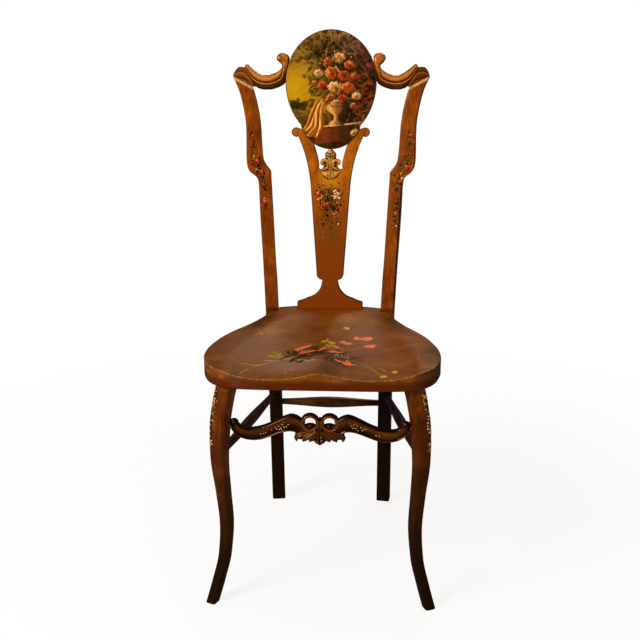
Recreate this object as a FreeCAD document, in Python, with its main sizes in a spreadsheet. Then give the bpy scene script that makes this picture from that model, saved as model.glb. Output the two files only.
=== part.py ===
import FreeCAD, Part
import os
import re
import Sketcher

# A painted parlour side chair: saddled plank seat, curved front legs, raked back posts that run down to
# the rear feet, a fretted splat, two scrolled crest arms and an oval panel. X is to the right, Y to the
# back and Z up, in millimetres. The origin is on the floor, under the middle of the chair.
Vector = FreeCAD.Vector
X_AXIS = Vector(1, 0, 0)
Y_AXIS = Vector(0, 1, 0)
Z_AXIS = Vector(0, 0, 1)

# Driving dimensions in millimetres and degrees. A setback is measured from the front of the front feet.
SIZES = {
    "glue_gap": 0.2,
    "overrun": 5,
    "seat_height": 445,
    "seat_thickness": 32,
    "seat_half_width": 209.5,
    "seat_setback": 7,
    "seat_depth": 410,
    "seat_round": 4,
    "board_depth": 135,
    "rear_board_extra": 5,
    "board_peg_diameter": 9,
    "board_peg_length": 44,
    "board_peg_half_spacing": 118,
    "board_peg_drop": 21.5,
    "hollow_depth": 13,
    "hollow_bulge": 60,
    "hollow_half_width": 84,
    "hollow_half_length": 270,
    "hollow_offset": 80,
    "hollow_setback": 82,
    "hollow_turn": 8,
    "leg_spread": 195.5,
    "leg_sweep": 35.5,
    "leg_sweep_back": 30,
    "leg_foot_side": 20,
    "leg_top_side": 33,
    "leg_turn": 25,
    "leg_tenon_diameter": 22,
    "leg_tenon_length": 17,
    "post_offset": 116,
    "post_inset": 44,
    "post_turn": 8,
    "post_width": 26,
    "post_flare": 76.5,
    "post_depth": 27,
    "post_foot_depth": 24,
    "post_top_depth": 21,
    "post_kick": 42,
    "back_rake": 9.65,
    "crest_level": 454.4,
    "crest_rise": 67,
    "crest_thickness": 24,
    "panel_half_width": 89.6,
    "panel_upper_reach": 99.4,
    "panel_lower_reach": 111.6,
    "panel_drop": 131,
    "panel_chin_radius": 60.8,
    "panel_thickness": 18,
    "splat_inset": 28,
    "splat_rake": 7.4,
    "splat_thickness": 15,
    "splat_foot_half": 67,
    "rail_drop": 49,
    "rail_height": 58,
    "rail_thickness": 13,
    "spindle_tenon_diameter": 11,
    "side_spindle_front_level": 284,
    "side_spindle_rear_level": 256,
    "side_spindle_end_diameter": 13,
    "side_spindle_middle_diameter": 20,
    "rear_spindle_level": 235.5,
    "rear_spindle_end_diameter": 12.5,
    "rear_spindle_middle_diameter": 23,
    "peg_diameter": 7,
    "peg_length": 28,
    "splat_peg_diameter": 9,
    "splat_peg_length": 30,
    "splat_peg_spacing": 50,
    "screw_diameter": 4.5,
    "screw_head_diameter": 9,
    "screw_length": 44,
    "screw_recess": 6,
    "screw_low_drop": 21,
    "screw_high_drop": 9,
}

# Outlines are tables of shares. A row of two is a straight edge to that point. A row of four is an arc
# through the first point to the second.
# The right half of the seat: shares of its half width and of its depth, from the front edge to the back.
SEAT_SHARES = (
    (0.000, 0.000),
    (0.310, 0.000, 0.620, 0.004),
    (0.749, 0.014, 0.850, 0.043),
    (0.931, 0.096, 0.983, 0.178),
    (0.999, 0.250, 0.969, 0.385),
    (0.872, 0.527, 0.745, 0.646),
    (0.664, 0.732, 0.597, 0.824),
    (0.563, 0.898),
    (0.496, 0.956),
    (0.295, 0.986, 0.000, 1.000),
)
# The front leg's sections, from foot to seat: shares of its height, of its sweep and of its growth in side.
LEG_SHARES = (
    (0.000, 0.000, 0.00),
    (0.096, 0.320, 0.02),
    (0.217, 0.650, 0.02),
    (0.361, 0.768, 0.12),
    (0.506, 0.677, 0.24),
    (0.675, 0.559, 0.58),
    (0.819, 0.623, 0.84),
    (0.940, 0.832, 0.90),
    (1.000, 1.000, 1.00),
)
LEG_CORNER_SHARE = 0.26
# Where the rail and the side spindles meet the front legs, as shares of the legs' sweep.
RAIL_SWEEP_SHARE = 0.62
SPINDLE_SWEEP_SHARE = 0.559
# The post's outer and inner edges, seen from the front. Below the seat: shares of its width and of the
# seat's height. Above it: shares of its flare and of the crest's level.
POST_LOWER_OUTER_SHARES = ((0.200, -1.000), (0.465, -0.075), (0.500, 0.010))
POST_UPPER_OUTER_SHARES = (
    (0.217, 0.226, 0.256, 0.520),
    (0.290, 0.590, 0.381, 0.602),
    (0.518, 0.622, 0.573, 0.670),
    (0.556, 0.790, 0.636, 0.905),
    (0.745, 0.975, 0.861, 1.030),
)
POST_UPPER_INNER_SHARES = (
    (0.430, 1.030),
    (0.200, 0.870, 0.135, 0.700),
    (0.085, 0.645, -0.072, 0.612),
    (-0.095, 0.470, -0.122, 0.330),
)
POST_LOWER_INNER_SHARES = ((-0.530, 0.010), (-0.530, -0.075), (-0.869, -1.000))
POST_TOP_SHARE = 1.03
# The splat's right half from its foot up. Lower part: shares of the foot's half width and of the height of
# the panel's lowest point. Upper part: shares of the radius of the panel's chin and of the same height.
SPLAT_FOOT_SHARES = (
    (0.000, -0.030),
    (1.000, -0.030),
    (1.000, 0.037),
    (0.986, 0.0436, 0.946, 0.0470),
    (0.810, 0.0560, 0.662, 0.0700),
    (0.365, 0.108, 0.246, 0.166),
    (0.234, 0.183),
    (0.365, 0.199, 0.407, 0.226),
    (0.582, 0.7465),
)
SPLAT_FORK_SHARES = (
    (0.757, 0.916, 1.061, 1.0696),
    (1.275, 1.0978, 1.110, 1.1238),
    (0.855, 1.1104),
    (0.584, 1.0414),
    (0.469, 0.9785, 0.370, 0.8908),
    (0.337, 0.8713, 0.288, 0.8735),
    (0.214, 0.8883),
    (0.304, 0.9111, 0.200, 0.9316),
    (0.140, 0.9378),
    (0.184, 0.9583, 0.115, 0.9785),
    (0.036, 0.9960),
    (0.000, 0.9975),
)
# The right crest arm: shares of the distance from the panel's side to the arm's tip, and of the arm's rise.
CREST_SHARES = (
    (-0.0540, 0.0050),
    (0.1400, -0.1250, 0.3635, -0.2160),
    (0.4995, -0.2013, 0.6110, -0.1265),
    (0.9806, 0.1268),
    (1.0000, 0.1794),
    (0.9710, 0.2910, 0.8880, 0.3810),
    (0.8300, 0.4030, 0.7860, 0.4556),
    (0.7376, 0.4926, 0.6890, 0.4485),
    (0.5870, 0.3220, 0.4700, 0.2088),
    (0.3600, 0.1720, 0.2177, 0.2500),
    (0.1205, 0.3590, 0.0865, 0.5088),
    (0.1302, 0.5380),
    (0.2030, 0.6570, 0.1300, 0.7690),
    (0.0525, 0.7910, -0.0350, 0.7309),
    (-0.1224, 0.6414),
    (-0.0540, 0.0050),
)
# The front rail's right half, from its lowest point round to the top of its middle: shares of the distance
# to the leg's middle and of the rail's height.
RAIL_SHARES = (
    (0.000, 0.000),
    (0.029, 0.043, 0.053, 0.100),
    (0.088, 0.164, 0.123, 0.121),
    (0.146, 0.095, 0.169, 0.121),
    (0.190, 0.147, 0.210, 0.112),
    (0.233, 0.190, 0.248, 0.384),
    (0.292, 0.428, 0.350, 0.403),
    (0.438, 0.316, 0.525, 0.203),
    (0.607, 0.138, 0.683, 0.124),
    (0.782, 0.186, 0.858, 0.310),
    (0.893, 0.448),
    (1.000, 0.466),
    (1.000, 0.707),
    (0.901, 0.716),
    (0.858, 0.810, 0.812, 0.690),
    (0.796, 0.586),
    (0.753, 0.522, 0.700, 0.507),
    (0.636, 0.531, 0.572, 0.583),
    (0.502, 0.672, 0.438, 0.766),
    (0.368, 0.872, 0.315, 0.928),
    (0.274, 0.955, 0.239, 0.924),
    (0.190, 0.852),
    (0.105, 1.000, 0.018, 0.914),
    (0.000, 0.871),
)
# The height of the rail's pegs, as a share of the rail's height.
RAIL_PEG_SHARE = 0.595
# One of the rail's two pierced rings, with the round bead that stands in its lower edge.
RING_SHARES = (
    (0.047, 0.685),
    (0.111, 0.886, 0.175, 0.685),
    (0.143, 0.664),
    (0.111, 0.741, 0.079, 0.664),
    (0.047, 0.685),
)
# A spindle's swelling: where it starts beside the tenon, and its middle, as shares of its length.
SPINDLE_SHOULDER_SHARE = 0.035
HALF_SHARE = 0.5
# The panel's outline: arcs to each quarter, where the chin starts as an angle on the lower ellipse, and the
# chin's own half way angle.
PANEL_ARCS = 3
PANEL_KINK_ANGLE = 48.4
CHIN_MIDDLE_ANGLE = 38.8
# Places of pegs: along the joint of arm and post, up the arm's end, and round the panel's chin.
JOINT_PEG_SHARE = 0.36
PANEL_PEG_SHARES = (0.06, 0.27)
FORK_PEG_ANGLE = 48
# How far the rear leg's middle lies inside the post's own line at the spindles, as a share of its width.
REAR_MIDDLE_SHARE = 0.18
# The post's outer face beside a screw, as a share of the post's width.
SCREW_SIDE_SHARE = 0.487

document = FreeCAD.newDocument("Chair")
sheet = document.addObject("Spreadsheet::Sheet", "Sizes")
for row, (alias, amount) in enumerate(SIZES.items(), start=1):
    sheet.set(f"A{row}", alias)
    sheet.set(f"B{row}", str(amount))
    sheet.setAlias(f"B{row}", alias)
document.recompute()

SIZE_NAME = re.compile(r"\b(" + "|".join(SIZES) + r")\b")
parts = []


def bound(text):
    """The same expression with the sheet's name before each size."""
    return SIZE_NAME.sub(r"Sizes.\1", text)


def measure(text):
    """The value of an expression in the sizes."""
    return float(sheet.evalExpression(bound(text)))


def bind(thing, **expressions):
    """Ties each property to its expression and gives the thing back."""
    for name, text in expressions.items():
        thing.setExpression(name.replace("__", "."), bound(text))
    return thing


def place(thing, x="0", y="0", z="0", axis=Z_AXIS, angle="0"):
    """Puts a thing at a point, turned about one axis."""
    thing.Placement = FreeCAD.Placement(Vector(), FreeCAD.Rotation(axis, 1))
    bind(thing, Placement__Base__x=x, Placement__Base__y=y, Placement__Base__z=z)
    return bind(thing, Placement__Rotation__Angle=angle)


# Posts and splat stand so far in from the seat's rear edge.
POST_SETBACK = "(seat_setback + seat_depth - post_inset)"
SPLAT_SETBACK = "(seat_setback + seat_depth - splat_inset)"
# The chair's middle lies half way between the front feet and the top of the panel's back.
DEPTH = (
    f"({POST_SETBACK} + (crest_level + panel_upper_reach) * sin(back_rake)"
    " + panel_thickness * cos(back_rake))"
)
FRONT = f"(0 - {DEPTH} / 2)"
SEAT_FRONT = f"({FRONT} + seat_setback)"
SEAT_BOTTOM = "(seat_height - seat_thickness)"
PANEL_BOTTOM = "(crest_level - panel_drop)"
CREST_REACH = "(post_offset + post_flare)"
# The turned corner of the foot is the chair's foremost point.
FOOT_INSET = (
    f"(leg_foot_side * {HALF_SHARE - LEG_CORNER_SHARE} * (cos(leg_turn) + sin(leg_turn))"
    f" + leg_foot_side * {LEG_CORNER_SHARE})"
)


def leg_x(share):
    """The middle of the right front leg, seen from the front, at a share of its sweep."""
    return f"(leg_spread - leg_sweep * {share})"


def leg_y(share):
    """The middle of the front legs, seen from the side, at a share of their sweep."""
    return f"({FRONT} + {FOOT_INSET} + leg_sweep_back * {share})"


def in_back(thing):
    """Puts a thing in the back's own frame: leaning with the posts, from the seat's top."""
    return place(thing, y=f"{FRONT} + {POST_SETBACK}", z="seat_height", axis=X_AXIS, angle="0 - back_rake")


def in_splat(thing):
    """Puts a thing in the splat's own frame."""
    setback = f"{FRONT} + {SPLAT_SETBACK}"
    return place(thing, y=setback, z="seat_height", axis=X_AXIS, angle="0 - splat_rake")


def in_post(thing):
    """Puts a thing in the right post's own frame, which faces a little inward."""
    frame = {"x": "post_offset", "y": f"{FRONT} + {POST_SETBACK}", "z": "seat_height"}
    return place(thing, **frame, axis=Z_AXIS, angle="0 - post_turn")


def shared(shares, across, along, left="0", foot="0"):
    """Rows of shares as rows of expressions, across one size and along another."""
    rows = []
    for row in shares:
        scaled = []
        for x, y in zip(row[0::2], row[1::2]):
            scaled += [f"{left} + {x} * {across}", f"{foot} + {y} * {along}"]
        rows.append(scaled)
    return rows


def closed(rows):
    """The rows of half an outline, closed along the middle line."""
    return rows + rows[:1]


def outline(body, name, plane, rows):
    """A sketch on one of the body's planes, closed through rows of straight edges and arcs."""
    sketch = body.newObject("Sketcher::SketchObject", name)
    sketch.AttachmentSupport = (next(f for f in body.Origin.OriginFeatures if f.Role == plane), [""])
    sketch.MapMode = "FlatFace"
    draw(sketch, rows)
    return sketch


def draw(sketch, rows):
    """Draws a closed run of edges and ties each of its points to the sizes."""
    constraints = []
    ties = []

    def pin(geometry, point, x, y):
        """Fixes one point at a place given by two expressions."""
        for kind, tie in (("DistanceX", x), ("DistanceY", y)):
            constraints.append(Sketcher.Constraint(kind, -1, 1, geometry, point, measure(tie)))
            ties.append((len(constraints) - 1, tie))

    ends = []
    for start, row in zip(rows, rows[1:]):
        begin, end = (Vector(measure(x), measure(y)) for x, y in (start[-2:], row[-2:]))
        if len(row) == 2:
            edge = sketch.addGeometry(Part.LineSegment(begin, end))
        else:
            middle = Vector(measure(row[0]), measure(row[1]))
            edge = sketch.addGeometry(Part.Arc(begin, middle, end))
            through = sketch.addGeometry(Part.Point(middle), True)
            pin(through, 1, *row[:2])
            constraints.append(Sketcher.Constraint("PointOnObject", through, 1, edge))
        # An arc's own first point is the one that it leaves anticlockwise.
        first, last = (sketch.getPoint(edge, point).distanceToPoint(begin) for point in (1, 2))
        corners = (1, 2) if first < last else (2, 1)
        pin(edge, corners[0], *start[-2:])
        ends.append((edge, corners))
    for (edge, corners), (following, next_corners) in zip(ends, ends[1:] + ends[:1]):
        constraints.append(Sketcher.Constraint("Coincident", edge, corners[1], following, next_corners[0]))
    sketch.addConstraint(constraints)
    for count, tie in ties:
        sketch.setExpression(f"Constraints[{count}]", bound(tie))
    return sketch


def new_body(name):
    """An empty body."""
    return document.addObject("PartDesign::Body", name)


def pad(body, sketch, length, second_length=None):
    """Pads a sketch backwards or upwards by a length, and the other way by a second one."""
    feature = body.newObject("PartDesign::Pad", sketch.Name + "Pad")
    feature.Profile = sketch
    feature.Reversed = "XZ" in sketch.AttachmentSupport[0][0].Role
    if second_length:
        feature.SideType = "Two sides"
        bind(feature, Length2=second_length)
    return bind(feature, Length=length)


def both_halves(body, features):
    """Adds the body's left half, which mirrors the features of its right half."""
    document.recompute()
    whole = body.newObject("PartDesign::Mirrored", body.Name + "Mirrored")
    whole.Originals = features
    whole.MirrorPlane = (next(f for f in body.Origin.OriginFeatures if f.Role == "YZ_Plane"), [""])
    body.Tip = whole
    return whole


def sawn(name, rows, thickness, front="0"):
    """A flat board from half its outline seen from the front: thickness behind it and before it."""
    body = new_body(name)
    sketch = outline(body, name + "Outline", "XZ_Plane", closed(rows))
    both_halves(body, [pad(body, sketch, thickness, None if front == "0" else front)])
    return body


def cylinder(name, diameter, length):
    """A plain cylinder along its own Z axis."""
    return bind(document.addObject("Part::Cylinder", name), Radius=f"({diameter}) / 2", Height=length)


def box(name, length, width, height):
    """A plain box."""
    return bind(document.addObject("Part::Box", name), Length=length, Width=width, Height=height)


def group(name, things):
    """Several things as one compound."""
    compound = document.addObject("Part::Compound", name)
    compound.Links = things
    return compound


def cut(name, base, tools):
    """A piece with other shapes taken out of it."""
    result = base
    for count, tool in enumerate(tools, start=1):
        piece = document.addObject("Part::Cut", name if count == len(tools) else f"{name}Stage{count}")
        piece.Base = result
        piece.Tool = tool
        result = piece
    return result


def mirror(name, thing):
    """The same thing on the chair's other side."""
    copy = document.addObject("Part::Mirroring", name)
    copy.Source = thing
    copy.Normal = X_AXIS
    return copy


def part(thing, label):
    """Names a finished sub-part."""
    thing.Label = label
    parts.append(thing)
    return thing


def pair(name, right):
    """A finished sub-part on the right and its mirror image on the left."""
    part(right, name + "_right")
    return right, part(mirror(right.Name + "Left", right), name + "_left")


def pegs(name, diameter, length, spots, axis=X_AXIS, angle="0", grow="0"):
    """Cylinders centred on their spots, all turned alike and longer and wider by a gap."""
    made = []
    for count, (x, y, z) in enumerate(spots, start=1):
        peg = cylinder(f"{name}{count}", f"{diameter} + 2 * {grow}", f"{length} + 2 * {grow}")
        half = f"(({length}) / 2 + {grow})"
        sides = {"x": x, "y": y, "z": z}
        if axis == X_AXIS:
            sides["y"] = f"{y} + {half} * sin({angle})"
        else:
            sides["x"] = f"{x} - {half} * sin({angle})"
        sides["z"] = f"{z} - {half} * cos({angle})"
        made.append(place(peg, **sides, axis=axis, angle=angle))
    return group(name, made)


def spindle(name, length, end_diameter, middle_diameter):
    """A turned bar along its own X axis: a tenon at each end and a swelling between them."""
    body = new_body(name)
    shoulder = f"{SPINDLE_SHOULDER_SHARE} * {length}"
    far_shoulder = f"{1 - SPINDLE_SHOULDER_SHARE} * {length}"
    rows = [
        ("0", "0"),
        ("0", "spindle_tenon_diameter / 2"),
        (shoulder, "spindle_tenon_diameter / 2"),
        (shoulder, f"{end_diameter} / 2"),
        (f"{HALF_SHARE} * {length}", f"{middle_diameter} / 2", far_shoulder, f"{end_diameter} / 2"),
        (far_shoulder, "spindle_tenon_diameter / 2"),
        (length, "spindle_tenon_diameter / 2"),
        (length, "0"),
        ("0", "0"),
    ]
    profile = outline(body, name + "Profile", "XZ_Plane", rows)
    turning = body.newObject("PartDesign::Revolution", name + "Turning")
    turning.Profile = profile
    turning.ReferenceAxis = (profile, ["H_Axis"])
    turning.Angle = 360
    return body


def run_between(thing, start, finish):
    """Lays a thing that runs along its own X axis from one point towards another."""
    dx, dy, dz = (f"({b} - {a})" for a, b in zip(start, finish))
    level = f"sqrt({dx} ^ 2 + {dy} ^ 2)"
    turn = f"rotation(atan2({dy}; {dx}); -1 * atan2({dz}; {level}); 0)"
    point = "vector({}; {}; {})".format(*start)
    return bind(thing, Placement=f"placement({point}; {turn})")


def distance(start, finish):
    """The expression for the distance between two points."""
    return "sqrt(" + " + ".join(f"({b} - {a}) ^ 2" for a, b in zip(start, finish)) + ")"


# The seat: three boards glued edge to edge, sawn to one outline, then hollowed and let in for the posts.
seat_body = new_body("SeatBlank")
seat_rows = closed(shared(SEAT_SHARES, "seat_half_width", "seat_depth"))
seat_sketch = outline(seat_body, "SeatOutline", "XY_Plane", seat_rows)
seat_whole = both_halves(seat_body, [pad(seat_body, seat_sketch, "seat_thickness")])
document.recompute()
seat_round = seat_body.newObject("PartDesign::Fillet", "SeatRound")
lower_edges = [
    f"Edge{count}"
    for count, edge in enumerate(seat_whole.Shape.Edges, start=1)
    if edge.BoundBox.ZMax < measure("glue_gap")
]
seat_round.Base = (seat_whole, lower_edges)
bind(seat_round, Radius="seat_round")
place(seat_body, y=SEAT_FRONT, z=SEAT_BOTTOM)

hollows = []
for count, side in enumerate((-1, 1), start=1):
    hollow = document.addObject("Part::Ellipsoid", f"SeatHollow{count}")
    spread = "sqrt(1 - ((hollow_bulge - hollow_depth) / hollow_bulge) ^ 2)"
    bind(hollow, Radius1="hollow_bulge", Radius2=f"hollow_half_width / {spread}")
    bind(hollow, Radius3=f"hollow_half_length / {spread}")
    middle = {"x": f"{side} * hollow_offset", "y": f"{SEAT_FRONT} + hollow_setback"}
    place(hollow, **middle, z="seat_height + hollow_bulge - hollow_depth", angle=f"{side} * hollow_turn")
    hollows.append(hollow)

# The notch for a post is as wide and as deep as the post there, and open to the outside.
notch = box("PostNotch", "post_width * 3", "post_depth * 3", "seat_thickness + 2 * overrun")
place(
    notch,
    x=f"0 - {-POST_LOWER_INNER_SHARES[0][0]} * post_width - glue_gap",
    y="0 - glue_gap",
    z="0 - seat_thickness - overrun",
)
notch_right = in_post(group("PostNotchRight", [notch]))
notch_left = mirror("PostNotchLeft", notch_right)

# Screws hold each post in its notch: one from behind, one from the outer side, under wooden plugs.
SCREW_RUNS = (
    (Y_AXIS, "0", "(post_depth - screw_recess)", "0 - screw_low_drop"),
    (X_AXIS, "post_depth / 2", f"(post_width * {SCREW_SIDE_SHARE} - screw_recess)", "0 - screw_high_drop"),
)


def along_screw(thing, run, outwards="0"):
    """Lays a thing that points upwards along one screw's run, moved outwards by a length."""
    along, across, start, level = run
    if along == Y_AXIS:
        return place(thing, x=across, y=f"{start} + {outwards}", z=level, axis=X_AXIS, angle="90")
    return place(thing, x=f"{start} + {outwards}", y=across, z=level, axis=Y_AXIS, angle="-90")


def screw_set(name, grow):
    """The two screws of one post, or the holes for them, in the post's own frame."""
    pieces = []
    for count, run in enumerate(SCREW_RUNS, start=1):
        fused = document.addObject("Part::Fuse", f"{name}{count}")
        shank = f"screw_diameter + 2 * {grow}"
        fused.Base = cylinder(f"{name}Shank{count}", shank, f"screw_length + {grow}")
        fused.Tool = document.addObject("Part::Cone", f"{name}Head{count}")
        bind(fused.Tool, Height="screw_head_diameter / 2", Radius2=f"({shank}) / 2")
        bind(fused.Tool, Radius1=f"screw_head_diameter / 2 + {grow}")
        pieces += [along_screw(group(f"{name}Laid{count}", [fused]), run)]
    return in_post(group(name, pieces))


def plug_set(name, grow):
    """The two wooden plugs of one post, or the counterbores for them."""
    pieces = []
    for count, run in enumerate(SCREW_RUNS, start=1):
        width = f"screw_head_diameter + 2 * glue_gap + 2 * {grow}"
        plug = cylinder(f"{name}{count}", width, "screw_recess")
        pieces.append(along_screw(plug, run, "screw_recess"))
    return in_post(group(name, pieces))


screws_right = screw_set("ScrewsRight", "0")
plugs_right = plug_set("PlugsRight", "0")
screw_holes = screw_set("ScrewHoles", "glue_gap")
plug_holes = plug_set("PlugHoles", "glue_gap")
screw_holes_left = mirror("ScrewHolesLeft", screw_holes)

# The front legs: nine rounded square sections, turned so that one corner leads, under a round tenon.
leg_body = new_body("LegBlank")
leg_sections = []
for count, (height_share, sweep_share, growth_share) in enumerate(LEG_SHARES, start=1):
    side = f"(leg_foot_side + (leg_top_side - leg_foot_side) * {growth_share})"
    half = f"{side} * {HALF_SHARE}"
    flat = f"{side} * {HALF_SHARE - LEG_CORNER_SHARE}"
    bend = f"{side} * {HALF_SHARE - LEG_CORNER_SHARE * (1 - HALF_SHARE ** HALF_SHARE)}"
    corners = ((1, 1), (-1, 1), (-1, -1), (1, -1))
    rows = [(f"{half}", f"0 - {flat}")]
    for x_sign, y_sign in corners:
        upright = (f"{x_sign} * {half}", f"{y_sign} * {flat}")
        level = (f"{x_sign} * {flat}", f"{y_sign} * {half}")
        begin, end = (upright, level) if x_sign == y_sign else (level, upright)
        rows.append(begin)
        rows.append((f"{x_sign} * {bend}", f"{y_sign} * {bend}", *end))
    rows.append(rows[0])
    section = outline(leg_body, f"LegSection{count}", "XY_Plane", rows[:-1])
    section.AttachmentOffset = FreeCAD.Placement(Vector(), FreeCAD.Rotation(Z_AXIS, 1))
    bind(section, AttachmentOffset__Base__x=leg_x(sweep_share))
    bind(section, AttachmentOffset__Base__y=leg_y(sweep_share))
    bind(section, AttachmentOffset__Base__z=f"{SEAT_BOTTOM} * {height_share}")
    bind(section, AttachmentOffset__Rotation__Angle="leg_turn")
    leg_sections.append(section)
leg_loft = leg_body.newObject("PartDesign::AdditiveLoft", "LegLoft")
leg_loft.Profile = leg_sections[0]
leg_loft.Sections = leg_sections[1:]
leg_tenon = cylinder("LegTenon", "leg_tenon_diameter", "leg_tenon_length + overrun")
place(leg_tenon, x=leg_x(1), y=leg_y(1), z=f"{SEAT_BOTTOM} - overrun")
leg_blank = document.addObject("Part::Fuse", "LegWithTenon")
leg_blank.Base = leg_body
leg_blank.Tool = leg_tenon
socket_depth = "leg_tenon_length + glue_gap + overrun"
leg_socket = cylinder("LegSocket", "leg_tenon_diameter + 2 * glue_gap", socket_depth)
place(leg_socket, x=leg_x(1), y=leg_y(1), z=f"{SEAT_BOTTOM} - overrun")
leg_socket_left = mirror("LegSocketLeft", leg_socket)

# The side spindles run from the front legs to the posts below the seat, the rear spindle between the posts.
POST_LEVEL_SHARE = "(1 - rear_spindle_level / seat_height)"
REAR_X = (
    f"(post_offset - post_width * {REAR_MIDDLE_SHARE}"
    f" + (post_kick * {POST_LEVEL_SHARE} + post_depth / 2) * sin(post_turn))"
)
REAR_Y = f"({FRONT} + {POST_SETBACK} + post_kick * {POST_LEVEL_SHARE} + post_depth / 2)"
side_start = (leg_x(SPINDLE_SWEEP_SHARE), leg_y(SPINDLE_SWEEP_SHARE), "side_spindle_front_level")
side_finish = (REAR_X, REAR_Y, "side_spindle_rear_level")
side_length = distance(side_start, side_finish)
side_blank = spindle(
    "SideSpindle", side_length, "side_spindle_end_diameter", "side_spindle_middle_diameter"
)
run_between(side_blank, side_start, side_finish)
rear_start = (f"0 - {REAR_X}", REAR_Y, "rear_spindle_level")
rear_finish = (REAR_X, REAR_Y, "rear_spindle_level")
rear_blank = spindle(
    "RearSpindle", f"(2 * {REAR_X})", "rear_spindle_end_diameter", "rear_spindle_middle_diameter"
)
run_between(rear_blank, rear_start, rear_finish)


def bore(name, start, finish):
    """The hole for a spindle's tenon, through both of the pieces that it joins."""
    length = f"{distance(start, finish)} + 2 * glue_gap"
    hole = cylinder(name + "Drill", "spindle_tenon_diameter + 2 * glue_gap", length)
    place(hole, x="0 - glue_gap", axis=Y_AXIS, angle="90")
    return run_between(group(name, [hole]), start, finish)


side_bore = bore("SideBore", side_start, side_finish)
rear_bore = bore("RearBore", rear_start, rear_finish)

# The front rail, between the front legs.
RAIL_REACH = leg_x(RAIL_SWEEP_SHARE)
# The rail hangs a little way under the seat.
RAIL_LEVEL = "(seat_height - seat_thickness - rail_drop - rail_height)"
rail_place = {"y": f"{leg_y(RAIL_SWEEP_SHARE)} - rail_thickness / 2", "z": RAIL_LEVEL}
rail_body = new_body("RailBlank")
rail_rows = closed(shared(RAIL_SHARES, RAIL_REACH, "rail_height"))
rail_sketch = outline(rail_body, "RailOutline", "XZ_Plane", rail_rows)
rail_pad = pad(rail_body, rail_sketch, "rail_thickness")
document.recompute()
ring_rows = shared(RING_SHARES, RAIL_REACH, "rail_height")
rail_ring = rail_body.newObject("PartDesign::Pocket", "RailRing")
rail_ring.Profile = outline(rail_body, "RailRingOutline", "XZ_Plane", ring_rows)
rail_ring.Type = "ThroughAll"
rail_ring.Midplane = True
both_halves(rail_body, [rail_pad, rail_ring])
place(rail_body, **rail_place)
RAIL_PEG_LEVEL = f"({RAIL_LEVEL} + rail_height * {RAIL_PEG_SHARE})"
rail_peg_spots = [
    (f"{sign} * ({RAIL_REACH} - leg_top_side / 2)", leg_y(RAIL_SWEEP_SHARE), RAIL_PEG_LEVEL)
    for sign in (-1, 1)
]
rail_peg_run = ("peg_diameter", "peg_length", rail_peg_spots, Y_AXIS, "90")
rail_pegs = pegs("RailPegs", *rail_peg_run)
rail_peg_holes = pegs("RailPegHoles", *rail_peg_run, "glue_gap")

leg_right, leg_left = pair("front_leg", cut("FrontLeg", leg_blank, [side_bore, rail_peg_holes]))
front_rail = part(cut("FrontRail", rail_body, [leg_right, leg_left, rail_peg_holes]), "front_rail")
part(rail_pegs, "front_rail_dowels")

# The posts: bent in side view at the seat and shaped in front view, each in one piece with a rear leg.
LEVEL = "(crest_level * cos(back_rake))"
POST_TOP = f"({LEVEL} * {POST_TOP_SHARE})"
post_side_rows = [
    ("post_kick", "0 - seat_height"),
    ("0", "0 - seat_thickness"),
    ("0", "0"),
    (f"{POST_TOP} * tan(back_rake)", POST_TOP),
    (f"{POST_TOP} * tan(back_rake) + post_top_depth", POST_TOP),
    ("post_depth", "0"),
    ("post_depth", "0 - seat_thickness"),
    ("post_kick + post_foot_depth", "0 - seat_height"),
    ("post_kick", "0 - seat_height"),
]
post_side_body = new_body("PostSideBlank")
post_side_sketch = outline(post_side_body, "PostSideOutline", "YZ_Plane", post_side_rows)
pad(post_side_body, post_side_sketch, "post_flare * 2", "post_flare")
post_front_rows = (
    shared(POST_LOWER_OUTER_SHARES, "post_width", "seat_height")
    + shared(POST_UPPER_OUTER_SHARES, "post_flare", LEVEL)
    + shared(POST_UPPER_INNER_SHARES, "post_flare", LEVEL)
    + shared(POST_LOWER_INNER_SHARES, "post_width", "seat_height")
    + shared(POST_LOWER_OUTER_SHARES[:1], "post_width", "seat_height")
)
post_front_body = new_body("PostFrontBlank")
post_front_sketch = outline(post_front_body, "PostFrontOutline", "XZ_Plane", post_front_rows)
post_front_depth = f"{POST_TOP} * tan(back_rake) + post_top_depth + overrun"
pad(post_front_body, post_front_sketch, post_front_depth, "overrun")
post_blank = document.addObject("Part::Common", "PostBlank")
post_blank.Base = post_side_body
post_blank.Tool = post_front_body
in_post(post_blank)

# The crest arms, sawn to a long hook and scribed to the panel's edge. Their backs are flush with the
# panel's back.
ARM_RUN = f"({CREST_REACH} - panel_half_width)"
crest_rows = shared(CREST_SHARES, ARM_RUN, "crest_rise", left="panel_half_width", foot="crest_level")
crest_body = new_body("CrestArmBlank")
crest_sketch = outline(crest_body, "CrestArmOutline", "XZ_Plane", crest_rows)
pad(crest_body, crest_sketch, "panel_thickness", "crest_thickness - panel_thickness")
in_back(crest_body)

# Post and arm meet on a plane that rises outwards.
joint_start, joint_end = (row[-2:] for row in CREST_SHARES[2:4])
JOINT_X = f"(panel_half_width + {ARM_RUN} * {joint_start[0]})"
JOINT_Z = f"(crest_level + crest_rise * {joint_start[1]})"
JOINT_DX = f"({ARM_RUN} * {joint_end[0] - joint_start[0]:.4f})"
JOINT_DZ = f"(crest_rise * {joint_end[1] - joint_start[1]:.4f})"
JOINT_SLOPE = f"(atan2({JOINT_DZ}; {JOINT_DX}) / 1 deg)"
above_joint = box("AboveJoint", "post_flare * 2", "post_depth * 4", "post_width")
place(above_joint, x="0 - post_width", y="0 - post_depth * 2")
joint_group = group("AboveJointTurned", [above_joint])
place(joint_group, x=JOINT_X, z=JOINT_Z, axis=Y_AXIS, angle=f"0 - {JOINT_SLOPE}")
joint_cutter = in_back(group("AboveJointInBack", [joint_group]))

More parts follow.
